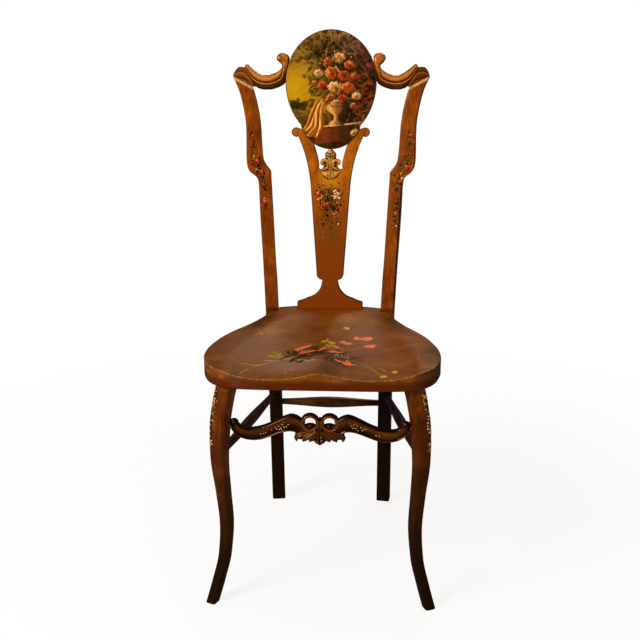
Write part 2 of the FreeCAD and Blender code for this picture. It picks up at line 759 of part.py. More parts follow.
# The panel: an ellipse whose lower half is longer, with a rounder chin.
kink = (
    f"panel_half_width * cos({PANEL_KINK_ANGLE})",
    f"crest_level - panel_lower_reach * sin({PANEL_KINK_ANGLE})",
)
panel_rows = [
    ("0", PANEL_BOTTOM),
    (
        f"panel_chin_radius * sin({CHIN_MIDDLE_ANGLE})",
        f"{PANEL_BOTTOM} + panel_chin_radius * (1 - cos({CHIN_MIDDLE_ANGLE}))",
        *kink,
    ),
]
for first_angle, last_angle, reach in (
    (-PANEL_KINK_ANGLE, 0, "panel_lower_reach"),
    (0, 90, "panel_upper_reach"),
):
    turn = (last_angle - first_angle) / PANEL_ARCS
    for count in range(PANEL_ARCS):
        row = []
        for angle in (first_angle + turn * (count + HALF_SHARE), first_angle + turn * (count + 1)):
            row += [f"panel_half_width * cos({angle})", f"crest_level + {reach} * sin({angle})"]
        panel_rows.append(tuple(row))
panel_blank = in_back(sawn("PanelBlank", panel_rows, "panel_thickness"))
panel_cutter = in_back(sawn("PanelCutter", panel_rows, "panel_thickness * 2", "panel_thickness"))

# The splat: one fretted board from the seat to the panel, which rests in its fork.
SPLAT_RISE = f"({PANEL_BOTTOM} * cos(back_rake) / cos(splat_rake))"
splat_rows = shared(SPLAT_FOOT_SHARES, "splat_foot_half", SPLAT_RISE)
splat_rows += shared(SPLAT_FORK_SHARES, "panel_chin_radius", SPLAT_RISE)
splat_blank = in_splat(sawn("SplatBlank", splat_rows, "splat_thickness"))


def both_sides(name, right):
    """A group on the right and its mirror image, as one."""
    return group(name, [right, mirror(name + "Mirrored", right)])


def peg_and_hole(name, diameter, length, spots, frame, axis, angle, two_sided=True):
    """Pegs in one of the chair's frames, and the holes that take them with their glue."""
    made = []
    for suffix, grow in (("", "0"), ("Holes", "glue_gap")):
        right = frame(pegs(name + suffix, diameter, length, spots, axis, angle, grow))
        made.append(both_sides(name + suffix + "Both", right) if two_sided else right)
    return made


# Pegs in the back: arm to post, arm to panel, splat to panel and splat to seat.
crest_post_pegs, crest_post_holes = peg_and_hole(
    "CrestPostPegs",
    "peg_diameter",
    "peg_length",
    [(
        f"{JOINT_X} + {JOINT_DX} * {JOINT_PEG_SHARE}",
        "panel_thickness - crest_thickness / 2",
        f"{JOINT_Z} + {JOINT_DZ} * {JOINT_PEG_SHARE}",
    )],
    in_back,
    Y_AXIS,
    f"(0 - {JOINT_SLOPE})",
)
crest_panel_pegs, crest_panel_holes = peg_and_hole(
    "CrestPanelPegs",
    "peg_diameter",
    "peg_length",
    [
        ("panel_half_width", "panel_thickness / 2", f"crest_level + crest_rise * {up}")
        for up in PANEL_PEG_SHARES
    ],
    in_back,
    Y_AXIS,
    "90",
)
splat_panel_pegs, splat_panel_holes = peg_and_hole(
    "SplatPanelPegs",
    "peg_diameter",
    "peg_length",
    [(
        f"panel_chin_radius * sin({FORK_PEG_ANGLE})",
        "panel_thickness - splat_thickness / 2",
        f"{PANEL_BOTTOM} + panel_chin_radius * (1 - cos({FORK_PEG_ANGLE}))",
    )],
    in_back,
    Y_AXIS,
    f"(180 - {FORK_PEG_ANGLE})",
)
splat_seat_pegs, splat_seat_holes = peg_and_hole(
    "SplatSeatPegs",
    "splat_peg_diameter",
    "splat_peg_length",
    [(f"{side} * splat_peg_spacing", "splat_thickness / 2", "0") for side in (-1, 0, 1)],
    in_splat,
    X_AXIS,
    "0",
    two_sided=False,
)

post_cuts = [joint_cutter, crest_post_holes, screw_holes, plug_holes, side_bore, rear_bore]
post_right, post_left = pair("back_post", cut("BackPost", post_blank, post_cuts))
pair("crest_arm", cut("CrestArm", crest_body, [panel_cutter, crest_post_holes, crest_panel_holes]))
part(cut("Panel", panel_blank, [crest_panel_holes, splat_panel_holes]), "oval_panel")
part(cut("Splat", splat_blank, [seat_body, panel_cutter, splat_panel_holes, splat_seat_holes]), "splat")
part(crest_post_pegs, "crest_post_dowels")
part(crest_panel_pegs, "crest_panel_dowels")
part(splat_panel_pegs, "splat_panel_dowels")
part(splat_seat_pegs, "splat_seat_dowels")
part(both_sides("Screws", screws_right), "post_seat_screws")
part(both_sides("Plugs", plugs_right), "post_screw_plugs")
pair("side_spindle", cut("SideSpindleFitted", side_blank, [leg_right, post_right]))
part(cut("RearSpindleFitted", rear_blank, [post_right, post_left]), "rear_spindle")

# The seat is finished last: hollowed, notched, bored and parted at its glue lines.
# The glue lines are measured from the back, so that the rear board holds the posts' screws at any depth.
REAR_LINE = "(seat_depth - board_depth - rear_board_extra)"
FRONT_LINE = f"({REAR_LINE} - board_depth)"
BOARD_PEG_LEVEL = "seat_height - board_peg_drop"
board_peg_spots = [
    (f"{side} * board_peg_half_spacing", f"{SEAT_FRONT} + {line}", BOARD_PEG_LEVEL)
    for line in (FRONT_LINE, REAR_LINE)
    for side in (-1, 0, 1)
]
board_sizes = ("board_peg_diameter", "board_peg_length", board_peg_spots, X_AXIS, "-90")
board_pegs = pegs("BoardPegs", *board_sizes)
board_peg_holes = pegs("BoardPegHoles", *board_sizes, "glue_gap")
seat_cuts = hollows + [notch_right, notch_left, leg_socket, leg_socket_left]
seat_cuts += [board_peg_holes, splat_seat_holes]
seat = cut("Seat", seat_body, seat_cuts + [screw_holes, screw_holes_left])
board_depths = (f"{FRONT_LINE} + overrun", "board_depth", "board_depth + rear_board_extra + overrun")
board_starts = ("0 - overrun", FRONT_LINE, REAR_LINE)
for name, depth, start in zip(("front", "middle", "rear"), board_depths, board_starts):
    slab = box("Slab" + name.title(), "3 * seat_half_width", depth, "seat_thickness * 3")
    place(slab, x="0 - 1.5 * seat_half_width", y=f"{SEAT_FRONT} + {start}")
    bind(slab, Placement__Base__z="seat_height - seat_thickness * 2")
    board = document.addObject("Part::Common", "SeatBoard" + name.title())
    board.Base = seat
    board.Tool = slab
    part(board, "seat_board_" + name)
part(board_pegs, "seat_joint_dowels")

document.recompute()
failed = [thing.Label for thing in document.Objects if {"Invalid", "Error"} & set(thing.State)]
if failed:
    raise RuntimeError("not built: " + ", ".join(failed))
for finished in parts:
    if finished.Shape.isNull() or not finished.Shape.isValid() or not finished.Shape.Solids:
        raise RuntimeError("not a valid solid: " + finished.Label)
os.makedirs("parts", exist_ok=True)
for finished in parts:
    finished.Shape.exportStep(f"parts/{finished.Label}.step")
    print(finished.Label, len(finished.Shape.Solids), round(finished.Shape.Volume))
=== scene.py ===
import math

import bmesh
import bpy
import numpy as np
from mathutils import Matrix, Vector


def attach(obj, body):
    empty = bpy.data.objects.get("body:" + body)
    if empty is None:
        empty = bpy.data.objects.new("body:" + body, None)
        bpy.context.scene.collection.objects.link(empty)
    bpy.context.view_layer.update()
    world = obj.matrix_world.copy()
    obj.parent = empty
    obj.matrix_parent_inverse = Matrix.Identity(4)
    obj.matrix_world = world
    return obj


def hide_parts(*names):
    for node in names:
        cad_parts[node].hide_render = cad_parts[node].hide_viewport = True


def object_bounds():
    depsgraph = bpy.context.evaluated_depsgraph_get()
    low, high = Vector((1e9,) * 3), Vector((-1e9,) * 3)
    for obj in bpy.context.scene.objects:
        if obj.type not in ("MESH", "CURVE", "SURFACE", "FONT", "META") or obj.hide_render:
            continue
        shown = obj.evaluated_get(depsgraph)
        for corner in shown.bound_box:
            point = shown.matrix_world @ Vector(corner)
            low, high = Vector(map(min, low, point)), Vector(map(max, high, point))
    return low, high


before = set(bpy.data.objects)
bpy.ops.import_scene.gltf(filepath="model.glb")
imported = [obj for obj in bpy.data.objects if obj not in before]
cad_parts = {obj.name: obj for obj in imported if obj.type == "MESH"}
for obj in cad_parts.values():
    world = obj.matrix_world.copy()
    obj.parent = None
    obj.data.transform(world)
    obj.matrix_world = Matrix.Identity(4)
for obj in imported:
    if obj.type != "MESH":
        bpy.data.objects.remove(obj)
cad_low, cad_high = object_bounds()

# Lengths are in millimetres until a mesh is made. The chair stands on the floor with X to the right,
# Y to the back and Z up.
MM = 0.001
FRONT = cad_low[1] / MM
SEAT_TOP = 445.0
SEAT_BOTTOM = 413.0
POST_OFFSET = 116.0
POST_SETBACK = 373.0
SPLAT_SETBACK = 389.0
POST_TURN = math.radians(8)
BACK_RAKE = math.radians(9.65)
SPLAT_RAKE = math.radians(7.4)
PANEL_LEVEL = 454.4
PANEL_THICKNESS = 18.0
CREST_PROUD = 6.0
SPLAT_THICKNESS = 15.0
# How far painted strokes stand above the lacquer, and reach into it.
PAINT_FILM = 0.18
# In metres: points nearer than this are one, and an edge shorter than this is none.
WELD = 2e-6
NO_EDGE = 1e-7


# Shapes


def flow(at, stations, values):
    """Smooth values between stations: cubic Hermite pieces whose slope at a station is the harmonic mean of
    the slopes on either side, or zero where these differ in sign, so that nothing overshoots."""
    stations, values = np.asarray(stations, float), np.asarray(values, float)
    steps = np.diff(stations)
    chords = np.diff(values) / steps
    before, after = chords[:-1], chords[1:]
    total = np.where(np.abs(before + after) < 1e-9, 1, before + after)
    inner = np.where(before * after > 0, 2 * before * after / total, 0)
    slopes = np.concatenate([chords[:1], inner, chords[-1:]])
    at = np.clip(at, stations[0], stations[-1])
    k = np.clip(np.searchsorted(stations, at, side="right") - 1, 0, len(steps) - 1)
    t = (at - stations[k]) / steps[k]
    return (
        (1 + 2 * t) * (1 - t) ** 2 * values[k]
        + t * (1 - t) ** 2 * steps[k] * slopes[k]
        + t**2 * (3 - 2 * t) * values[k + 1]
        - t**2 * (1 - t) * steps[k] * slopes[k + 1]
    )


def smooth_step(low, high, value):
    """Rises from 0 to 1 between two values, level at both ends: 3 t squared minus 2 t cubed."""
    t = np.clip((value - low) / (high - low), 0, 1)
    return t * t * (3 - 2 * t)


def way_along(points):
    """How far each point of a run lies from its start, going straight from point to point."""
    return np.concatenate([[0], np.cumsum(np.hypot(*np.diff(points, axis=0).T))])


def smooth_run(rows, count):
    """A table of rows that begin with the two coordinates of a point, drawn out to evenly spaced rows: each
    column flows over the way from point to point."""
    rows = np.array(rows, float)
    way = way_along(rows[:, :2])
    at = np.linspace(0, way[-1], count)
    return np.stack([flow(at, way, column) for column in rows.T], 1)


def full_turn(count):
    """Angles at even steps once round a circle."""
    return np.arange(count) / count * math.tau


def arris_curve(arris, steps=5):
    """How far the rings of a rounded edge are drawn in, and how deep they lie: along a quarter circle, one
    less its sine and one less its cosine."""
    turn = np.linspace(0, math.pi / 2, steps)
    return arris * (1 - np.sin(turn)), arris * (1 - np.cos(turn))


def arc_run(rows, spacing=1.2):
    """A polyline through a table of rows: a row of two is a straight edge to that point, a row of four an
    arc through its first point to its second. Points lie about one spacing apart."""
    line = [np.array([rows[0]], float)]
    for start, row in zip(rows, rows[1:]):
        a, b = np.array(start[-2:], float), np.array(row[-2:], float)
        if len(row) == 2:
            count = max(1, round(np.linalg.norm(b - a) / spacing))
            t = np.arange(1, count + 1)[:, None] / count
            line.append(a + (b - a) * t)
            continue
        m = np.array(row[:2], float)
        (ax, ay), (bx, by), (mx, my) = a, b, m
        d = 2 * (ax * (my - by) + mx * (by - ay) + bx * (ay - my))
        squares = (a @ a, m @ m, b @ b)
        centre = np.array([
            (squares[0] * (my - by) + squares[1] * (by - ay) + squares[2] * (ay - my)) / d,
            (squares[0] * (bx - mx) + squares[1] * (ax - bx) + squares[2] * (mx - ax)) / d,
        ])
        angles = [math.atan2(*(p - centre)[::-1]) for p in (a, m, b)]
        sweep = (angles[2] - angles[0]) % math.tau
        if (angles[1] - angles[0]) % math.tau > sweep:
            sweep -= math.tau
        radius = np.linalg.norm(a - centre)
        count = max(4, round(abs(sweep) * radius / spacing))
        turn = angles[0] + sweep * np.arange(1, count + 1) / count
        line.append(centre + radius * np.stack([np.cos(turn), np.sin(turn)], 1))
    return np.concatenate(line)


def both_sides(half):
    """A closed outline from its right half, which starts and ends on the middle line."""
    return np.concatenate([half, half[-2:0:-1] * (-1, 1)])


def offsets(line):
    """Unit vectors that point outwards from each point of a closed outline, whichever way it runs."""
    along = np.roll(line, -1, 0) - np.roll(line, 1, 0)
    out = np.stack([along[:, 1], -along[:, 0]], 1)
    out /= np.linalg.norm(out, axis=1, keepdims=True) + 1e-12
    x, y = line.T
    area = np.sum(x * np.roll(y, -1) - np.roll(x, -1) * y)
    return out * np.sign(area)


def rounded_loop(steps=5):
    """The unit loop of a rounded rectangle: the signs of its four corners, and along each corner the
    directions of a quarter circle."""
    turn = np.tile(np.linspace(0, 1, steps), 4)
    corner = np.repeat(np.arange(4), steps)
    angle = (turn + corner - 1) * math.pi / 2
    across = np.where(corner < 2, 1, -1)
    along = np.where((corner == 0) | (corner == 3), -1, 1)
    return across, along, np.cos(angle), np.sin(angle)


def leaning(points, setback, rake):
    """Takes points (x, depth, rise) of a board that leans back to their place in the chair: turned about
    the X axis by the rake, then set back at the height of the seat."""
    x, depth, rise = np.moveaxis(np.asarray(points, float), -1, 0)
    y = FRONT + setback + depth * math.cos(rake) + rise * math.sin(rake)
    z = SEAT_TOP - depth * math.sin(rake) + rise * math.cos(rake)
    return np.stack([x, y, z], -1)


def in_back(points):
    """Points of the panel and the crest arms in the chair."""
    return leaning(points, POST_SETBACK, BACK_RAKE)


def in_splat(points):
    """Points of the splat in the chair."""
    return leaning(points, SPLAT_SETBACK, SPLAT_RAKE)


def in_post(points):
    """Points of the right post in the chair: turned a little about its own upright line."""
    x, y, z = np.moveaxis(np.asarray(points, float), -1, 0)
    c, s = math.cos(POST_TURN), math.sin(POST_TURN)
    return np.stack([POST_OFFSET + x * c + y * s, FRONT + POST_SETBACK - x * s + y * c, SEAT_TOP + z], -1)


def patch(points, **marks):
    """A grid of points, each of its rows a closed ring, with its marks: numbers for dark glaze with painted
    shade and for rubbing with painted highlights, or a colour, at each point."""
    return {"points": points, "marks": marks}


def tube(rings, **marks):
    """A tube from rows of rings, closed by one more row at each end that is shrunk to the ring's middle. Its
    marks are widened to these rows."""
    first, last = (np.broadcast_to(ring.mean(0), ring.shape)[None] for ring in (rings[0], rings[-1]))
    wide = {name: np.concatenate([m[:1], m, m[-1:]]) for name, m in marks.items()}
    return patch(np.concatenate([first, rings, last]), **wide)


def build(name, patches, finish, replaces=(), plates=(), sharp=50):
    """Joins grids into one mesh, a quad between each four neighbours, and plates over whole rows. Seams and
    poles are welded, faces turned outwards and edges sharper than an angle kept crisp."""
    verts, faces, base = [], [], 0
    marks = {"grime": [], "wear": [], "paint": []}
    for item in patches:
        points = item["points"]
        rows, columns = points.shape[:2]
        index = base + np.arange(rows * columns).reshape(rows, columns)
        item["index"] = index
        index = np.hstack([index, index[:, :1]])
        quads = np.stack([index[:-1, :-1], index[:-1, 1:], index[1:, 1:], index[1:, :-1]], -1)
        faces += quads.reshape(-1, 4).tolist()
        verts.append(points.reshape(-1, 3))
        for mark, width in (("grime", 1), ("wear", 1), ("paint", 3)):
            value = np.asarray(item["marks"].get(mark, np.zeros(width)), float)
            value = value[..., None] if width == 1 and value.ndim == 2 else value
            marks[mark].append(np.broadcast_to(value, (rows, columns, width)).reshape(-1, width))
        base += rows * columns
    for number, row in plates:
        faces.append(patches[number]["index"][row].tolist())
    mesh = bpy.data.meshes.new(name)
    mesh.from_pydata((np.concatenate(verts) * MM).tolist(), [], faces)
    for mark in ("grime", "wear"):
        layer = mesh.attributes.new(mark, "FLOAT", "POINT")
        layer.data.foreach_set("value", np.concatenate(marks[mark]).ravel())
    paint = np.concatenate(marks["paint"])
    if paint.any():
        layer = mesh.attributes.new("paint", "FLOAT_COLOR", "POINT")
        layer.data.foreach_set("color", np.hstack([paint, np.ones((base, 1))]).ravel())
    work = bmesh.new()
    work.from_mesh(mesh)
    bmesh.ops.remove_doubles(work, verts=work.verts, dist=WELD)
    bmesh.ops.dissolve_degenerate(work, edges=work.edges, dist=NO_EDGE)
    bmesh.ops.recalc_face_normals(work, faces=work.faces)
    work.to_mesh(mesh)
    work.free()
    mesh.shade_smooth()
    mesh.set_sharp_from_angle(angle=math.radians(sharp))
    mesh.materials.append(finish)
    piece = bpy.data.objects.new(name, mesh)
    bpy.context.scene.collection.objects.link(piece)
    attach(piece, "root")
    if replaces:
        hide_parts(*replaces)
    return piece


def board(outline, thickness, arris, place, front=0.0, edge_grime=0.0, ground=0.0):
    """A sawn board with rounded arrises: rings of its outline, drawn in by the arris and brought out to the
    full size along a quarter circle in front, straight back, and in again behind. Dark glaze and painted
    shade grow towards the edges, and the ground share darkens the whole board as painted shade."""
    inset, depth = arris_curve(arris)
    lip = arris + 1.2
    insets = np.concatenate([[lip], inset, inset[::-1], [lip]])
    depths = np.concatenate([[0.0], depth, thickness - depth[::-1], [thickness]]) + front
    flat = outline[None] - offsets(outline)[None] * insets[:, None, None]
    depth_grid = np.broadcast_to(depths[:, None], flat.shape[:2])
    points = np.stack([flat[..., 0], depth_grid, flat[..., 1]], -1)
    grime = np.maximum(ground, edge_grime * (1 - insets / lip))
    return patch(place(points), grime=np.broadcast_to(grime[:, None], flat.shape[:2]))


def moulding(pairs, profile, thickness, place, front=0.0, rows=150, plain=0.0):
    """A carved strip. Its lower and upper edges run through pairs of points, smoothly in their order. Across
    it, from edge to edge, a profile table gives depth behind the front, dark glaze with painted shade, and
    rubbing with painted highlights. The back is flat and darker towards its edges. Over the plain share of
    its length, from its start, it is simply rounded instead, with painted shade towards both edges and a
    painted highlight along its lower part."""
    pairs = np.asarray(pairs, float)
    middle = (pairs[:, :2] + pairs[:, 2:]) / 2
    way = np.concatenate([[0], np.cumsum(np.linalg.norm(np.diff(middle, axis=0), axis=1) + 0.01)])
    at = np.linspace(0, way[-1], rows)
    edges = np.stack([flow(at, way, column) for column in pairs.T], 1)
    low_edge, high_edge = edges[:, None, :2], edges[:, None, 2:]
    table = np.asarray(profile, float)
    share = np.linspace(0, 1, 41)
    depth, grime, wear = (flow(share, table[:, 0], column) for column in table[:, 1:].T)
    flat = low_edge + (high_edge - low_edge) * share[None, :, None]
    width = np.linalg.norm(edges[:, 2:] - edges[:, :2], axis=1)
    # A narrow stretch is carved less deeply.
    depth = depth[None] * np.clip(width / np.median(width), 0.15, 1)[:, None]
    carved = smooth_step(0.6 * plain, plain, at / way[-1])[:, None] if plain else np.ones((rows, 1))
    edge = np.abs(2 * share - 1)[None]
    depth = depth * carved + (0.8 + 5.4 * edge**3) * (1 - carved)
    grime = grime[None] * carved + 0.8 * smooth_step(0.72, 1.0, edge) * (1 - carved)
    wear = wear[None] * carved + 0.55 * np.exp(-(((share[None] - 0.24) / 0.12) ** 2)) * (1 - carved)
    face = np.stack([flat[..., 0], front + depth, flat[..., 1]], -1)
    back_share = np.array([1.0, 0.97, 0.5, 0.03, 0.0])
    back_flat = low_edge + (high_edge - low_edge) * back_share[None, :, None]
    back_depth = front + thickness - np.array([1.2, 0, 0, 0, 1.2])
    back = np.stack([back_flat[..., 0], np.broadcast_to(back_depth, (rows, 5)), back_flat[..., 1]], -1)
    rings = np.concatenate([face, back], 1)
    rubbed_and_lit = np.hstack([wear, np.zeros((rows, 5))])
    glaze_and_shade_rows = np.hstack([grime, np.tile([0.95, 0.6, 0.3, 0.6, 0.95], (rows, 1))])
    return tube(place(rings), grime=glaze_and_shade_rows, wear=rubbed_and_lit)


def dome(place, centre, radii, height, front, power=0.5, groove=None):
    """A raised boss: rings from its rim to its middle, raised by (1 - radius squared) to a power. A groove is
    a radius share and a depth: the surface dips there over a tenth of the radius. Painted shade darkens the
    foot, the rim and the groove."""
    share = np.linspace(1, 0, 15)
    turn = full_turn(40)
    lift = height * (1 - share**2) ** power
    grime = np.where(share > 0.93, 0.8, 0.0)
    if groove:
        dip = np.exp(-(((share - groove[0]) / 0.1) ** 2))
        lift = lift - groove[1] * dip
        grime = np.maximum(grime, dip)
    x = centre[0] + radii[0] * share[:, None] * np.cos(turn)
    z = centre[1] + radii[1] * share[:, None] * np.sin(turn)
    rings = np.stack([x, np.broadcast_to(front - lift[:, None], x.shape), z], -1)
    foot = rings[:1] + (0, 3.0, 0)
    rings = np.concatenate([foot, rings])
    marks = np.concatenate([[1.0], grime])
    return tube(place(rings), grime=np.broadcast_to(marks[:, None], rings.shape[:2]))


def carved_roll(line, radii, place, flat):
    """A carved roll along a line of (x, depth, rise): an ellipse round each point of it, flattened in depth,
    whose size follows the radii and whose width lies across the line. Painted shade lies in the corner where
    the roll meets its ground."""
    line = np.asarray(line, float)
    along = np.gradient(line, axis=0)
    along /= np.linalg.norm(along, axis=1, keepdims=True) + 1e-12
    across = np.stack([along[:, 2], np.zeros(len(line)), -along[:, 0]], 1)
    turn = full_turn(20)
    radii = np.asarray(radii, float)[:, None, None]
    rings = line[:, None] + radii * (
        across[:, None] * np.cos(turn)[None, :, None] + np.array([0, flat, 0]) * np.sin(turn)[None, :, None]
    )
    corner = smooth_step(-0.8, -0.25, np.sin(turn))
    return tube(place(rings), grime=np.tile(corner, (len(line), 1)))


# Finishes


def linear(colour):
    """A colour written as sRGB hex, in the linear light that shaders use."""
    channel = np.array([int(colour[i : i + 2], 16) for i in (1, 3, 5)]) / 255
    return np.where(channel <= 0.04045, channel / 12.92, ((channel + 0.055) / 1.055) ** 2.4)


def rgba(colour):
    """The same, solid."""
    return (*linear(colour), 1.0)


def fill(tree, node, inputs):
    """Gives a node's inputs their values, or links from the outputs of other nodes."""
    for name, value in dict(inputs).items():
        if isinstance(value, bpy.types.NodeSocket):
            tree.links.new(value, node.inputs[name])
        else:
            node.inputs[name].default_value = value


def add(tree, kind, inputs=(), stops=(), **settings):
    """Adds a node, sets its properties, fills its inputs and gives it back. Stops are the positions and
    colours of a ramp."""
    node = tree.nodes.new(kind)
    for name, value in settings.items():
        setattr(node, name, value)
    for count, (position, colour) in enumerate(stops):
        stop = node.color_ramp.elements[count] if count < 2 else node.color_ramp.elements.new(position)
        stop.position = position
        stop.color = rgba(colour)
    fill(tree, node, inputs)
    return node


def new_finish(name):
    """An empty material, its tree with a shader already on the output, and the places on the object that
    every pattern reads, in metres."""
    finish = bpy.data.materials.new(name)
    finish.use_nodes = True
    tree = finish.node_tree
    spots = add(tree, "ShaderNodeTexCoord").outputs["Object"]
    return finish, tree, tree.nodes["Principled BSDF"], spots


def lacquer(
    name, tones, grain_run="Z", low=None, tone_clouds=(), gloss=0.3, coat=0.08, tint="#FFB464",
    speckle_span=(0.42, 0.62, 0.5), rubbed_and_lit="#C88A50",
):
    """Brown spirit lacquer brushed over birch: cloudy where the coats are uneven (clouds about 45 mm), with
    the wood's streaks (3 mm wide and 60 mm long, coarser than the real ones so that they show) under it, dark
    glaze and painted shade where the mesh marks them, and paler wood from rubbing and painted highlights
    where it marks those. The aged film tints what it reflects. Low is a colour with the heights in metres
    between which it takes over downwards; on some pieces it is painted shade. The clouds of tone are soft
    clouds of another colour, some stained patches, some painted sheen and some painted shade: colour, middle,
    reaches and share, with zero for a reach that does not matter. The speckle span is the span of the speckle
    (4 mm) that lets the rubbing and the painted highlights show, and its share."""
    finish, tree, shader, spots = new_finish(name)
    cloudy = {"Vector": spots, "Scale": 22, "Detail": 4, "Roughness": 0.55}
    clouds = add(tree, "ShaderNodeTexNoise", cloudy).outputs["Fac"]
    stops = list(zip((0.3, 0.52, 0.72), tones))
    tone = add(tree, "ShaderNodeValToRGB", {"Fac": clouds}, stops=stops).outputs["Color"]
    stretch = {"X": (16, 320, 320), "Y": (320, 16, 320), "Z": (320, 320, 16)}[grain_run]
    along = add(tree, "ShaderNodeMapping", {"Vector": spots, "Scale": stretch}).outputs["Vector"]
    streaks = add(tree, "ShaderNodeTexNoise", {"Vector": along, "Scale": 1, "Detail": 3}).outputs["Fac"]
    ends = {"Value": streaks, "From Min": 0.3, "From Max": 0.7, "To Min": 0.64, "To Max": 1.32}
    light = add(tree, "ShaderNodeMapRange", ends).outputs["Result"]
    tone = add(tree, "ShaderNodeVectorMath", {0: tone, "Scale": light}, operation="SCALE").outputs["Vector"]

    # The films that lie over the wood, each a share and a colour; some are painted shade, sheen or
    # highlights.
    films = []
    if low:
        height = add(tree, "ShaderNodeSeparateXYZ", {"Vector": spots}).outputs["Z"]
        ends = {"Value": height, "From Min": low[1], "From Max": low[2], "To Min": 1, "To Max": 0}
        share = add(tree, "ShaderNodeMapRange", ends, interpolation_type="SMOOTHSTEP").outputs["Result"]
        films.append((share, low[0]))
    for cloud_tone, middle, reaches, cover in tone_clouds:
        away = spots
        scale = tuple(1 / reach if reach else 0 for reach in reaches)
        for kind, other in (("SUBTRACT", middle), ("MULTIPLY", scale)):
            away = add(tree, "ShaderNodeVectorMath", {0: away, 1: other}, operation=kind).outputs["Vector"]
        away = add(tree, "ShaderNodeVectorMath", {0: away}, operation="LENGTH").outputs["Value"]
        away = add(tree, "ShaderNodeMath", {0: away, 1: clouds}, operation="ADD").outputs["Value"]
        ends = {"Value": away, "From Min": 0.6, "From Max": 1.6, "To Min": cover, "To Max": 0}
        share = add(tree, "ShaderNodeMapRange", ends, interpolation_type="SMOOTHSTEP").outputs["Result"]
        films.append((share, cloud_tone))
    speck = add(tree, "ShaderNodeTexNoise", {"Vector": spots, "Scale": 260, "Detail": 4}).outputs["Fac"]
    ends = {"Value": speck, "From Min": speckle_span[0], "From Max": speckle_span[1], "To Min": 0, "To Max": speckle_span[2]}
    speckle_gate = add(tree, "ShaderNodeMapRange", ends).outputs["Result"]
    # Paler rubbing with painted highlights, then dark glaze with painted shade, where the mesh marks them.
    for mark, share, colour in (("wear", speckle_gate, rubbed_and_lit), ("grime", 0.95, "#100602")):
        here = add(tree, "ShaderNodeAttribute", attribute_name=mark).outputs["Fac"]
        share = add(tree, "ShaderNodeMath", {0: here, 1: share}, operation="MULTIPLY").outputs["Value"]
        films.append((share, colour))
    for share, colour in films:
        tone = add(tree, "ShaderNodeMix", {0: share, 6: tone, 7: rgba(colour)}, data_type="RGBA").outputs[2]

    ends = {"Value": clouds, "From Min": 0.3, "From Max": 0.7, "To Min": gloss + 0.08, "To Max": gloss - 0.04}
    rough = add(tree, "ShaderNodeMapRange", ends).outputs["Result"]
    relief = add(tree, "ShaderNodeBump", {"Height": streaks, "Strength": 0.35, "Distance": 0.00008})
    fill(tree, shader, {
        "Base Color": tone, "Roughness": rough, "Normal": relief.outputs["Normal"], "IOR": 1.5,
        "Specular Tint": rgba(tint), "Coat Weight": coat, "Coat Roughness": 0.12,
    })
    return finish


# On the seat, the grey-brown clouds in the left hollow, left of the front ridge and in the right hollow are
# painted sheen; the dark clouds on both rear wings and at the right end are painted shade.
seat_finish = lacquer(
    "brushed_seat_lacquer", ("#643008", "#78400C", "#885420"), "X", low=("#5C1F00", 0.424, 0.436),
    tone_clouds=(
        ("#8A3C03", (0.004, 0.13, 0), (0.045, 0.09, 0), 0.8),
        ("#74543E", (-0.12, -0.1, 0), (0.09, 0.14, 0), 0.75),
        ("#8A6A56", (-0.05, -0.16, 0), (0.07, 0.07, 0), 0.85),
        ("#6E4C3A", (0.075, -0.02, 0), (0.04, 0.13, 0), 0.55),
        ("#361A06", (0.135, 0.08, 0), (0.045, 0.09, 0), 0.8),
        ("#3E200A", (-0.14, 0.08, 0), (0.045, 0.09, 0), 0.75),
        ("#6E3E06", (0.1, -0.17, 0), (0.05, 0.05, 0), 0.5),
        ("#280F02", (0.215, -0.12, 0), (0.05, 0.12, 0), 0.9),
    ),
    gloss=0.36, tint="#FFB468", speckle_span=(0.46, 0.6, 0.75), rubbed_and_lit="#C89468",
)
# Below the seat the rear legs turn almost black: painted shade under the seat.
back_finish = lacquer(
    "brushed_back_lacquer", ("#6A2A02", "#803A05", "#9C4E0A"), "Z", low=("#160903", 0.38, 0.425),
    tone_clouds=(
        ("#4A2206", (0.139, 0, 0.726), (0.012, 0, 0.034), 0.55),
        ("#4A2206", (-0.138, 0, 0.728), (0.012, 0, 0.03), 0.55),
    ),
    speckle_span=(0.3, 0.45, 0.9), rubbed_and_lit="#E0A468",
)
# The right arm is darkened as painted shade, and the left lightened as painted light.
crest_finish = lacquer(
    "crest_lacquer_rubbed_and_lit", ("#803A06", "#9A4C0C", "#B4661A"), "X",
    tone_clouds=(
        ("#7A3A08", (0.22, 0.2, 0.92), (0.11, 0, 0), 0.45),
        ("#B06A24", (-0.16, 0.2, 0.92), (0.07, 0, 0), 0.5),
    ),
    gloss=0.2, coat=0.5, speckle_span=(0.25, 0.45, 0.75), rubbed_and_lit="#D88E44",
)
splat_finish = lacquer(
    "amber_splat_lacquer", ("#8A4204", "#A25408", "#BA680C"), "Z", low=("#803804", 0.56, 0.74),
    tone_clouds=(
        ("#C47C0E", (0, 0, 0.7), (0.03, 0, 0.03), 0.7),
        ("#381A05", (-0.001, 0, 0.662), (0.025, 0, 0.034), 0.85),
        ("#54400C", (0.004, 0, 0.6), (0.024, 0, 0.036), 0.6),
    ),
    gloss=0.32,
)
# The legs darken towards the foot, and the right leg lower down, as painted shade.
leg_finish = lacquer(
    "brushed_leg_lacquer", ("#4A1D03", "#5C2605", "#78380A"), "Z", low=("#190B03", 0.04, 0.42),
    tone_clouds=(("#1C0C03", (0.25, -0.2, 0.18), (0.12, 0, 0.32), 0.75),), gloss=0.3,
)
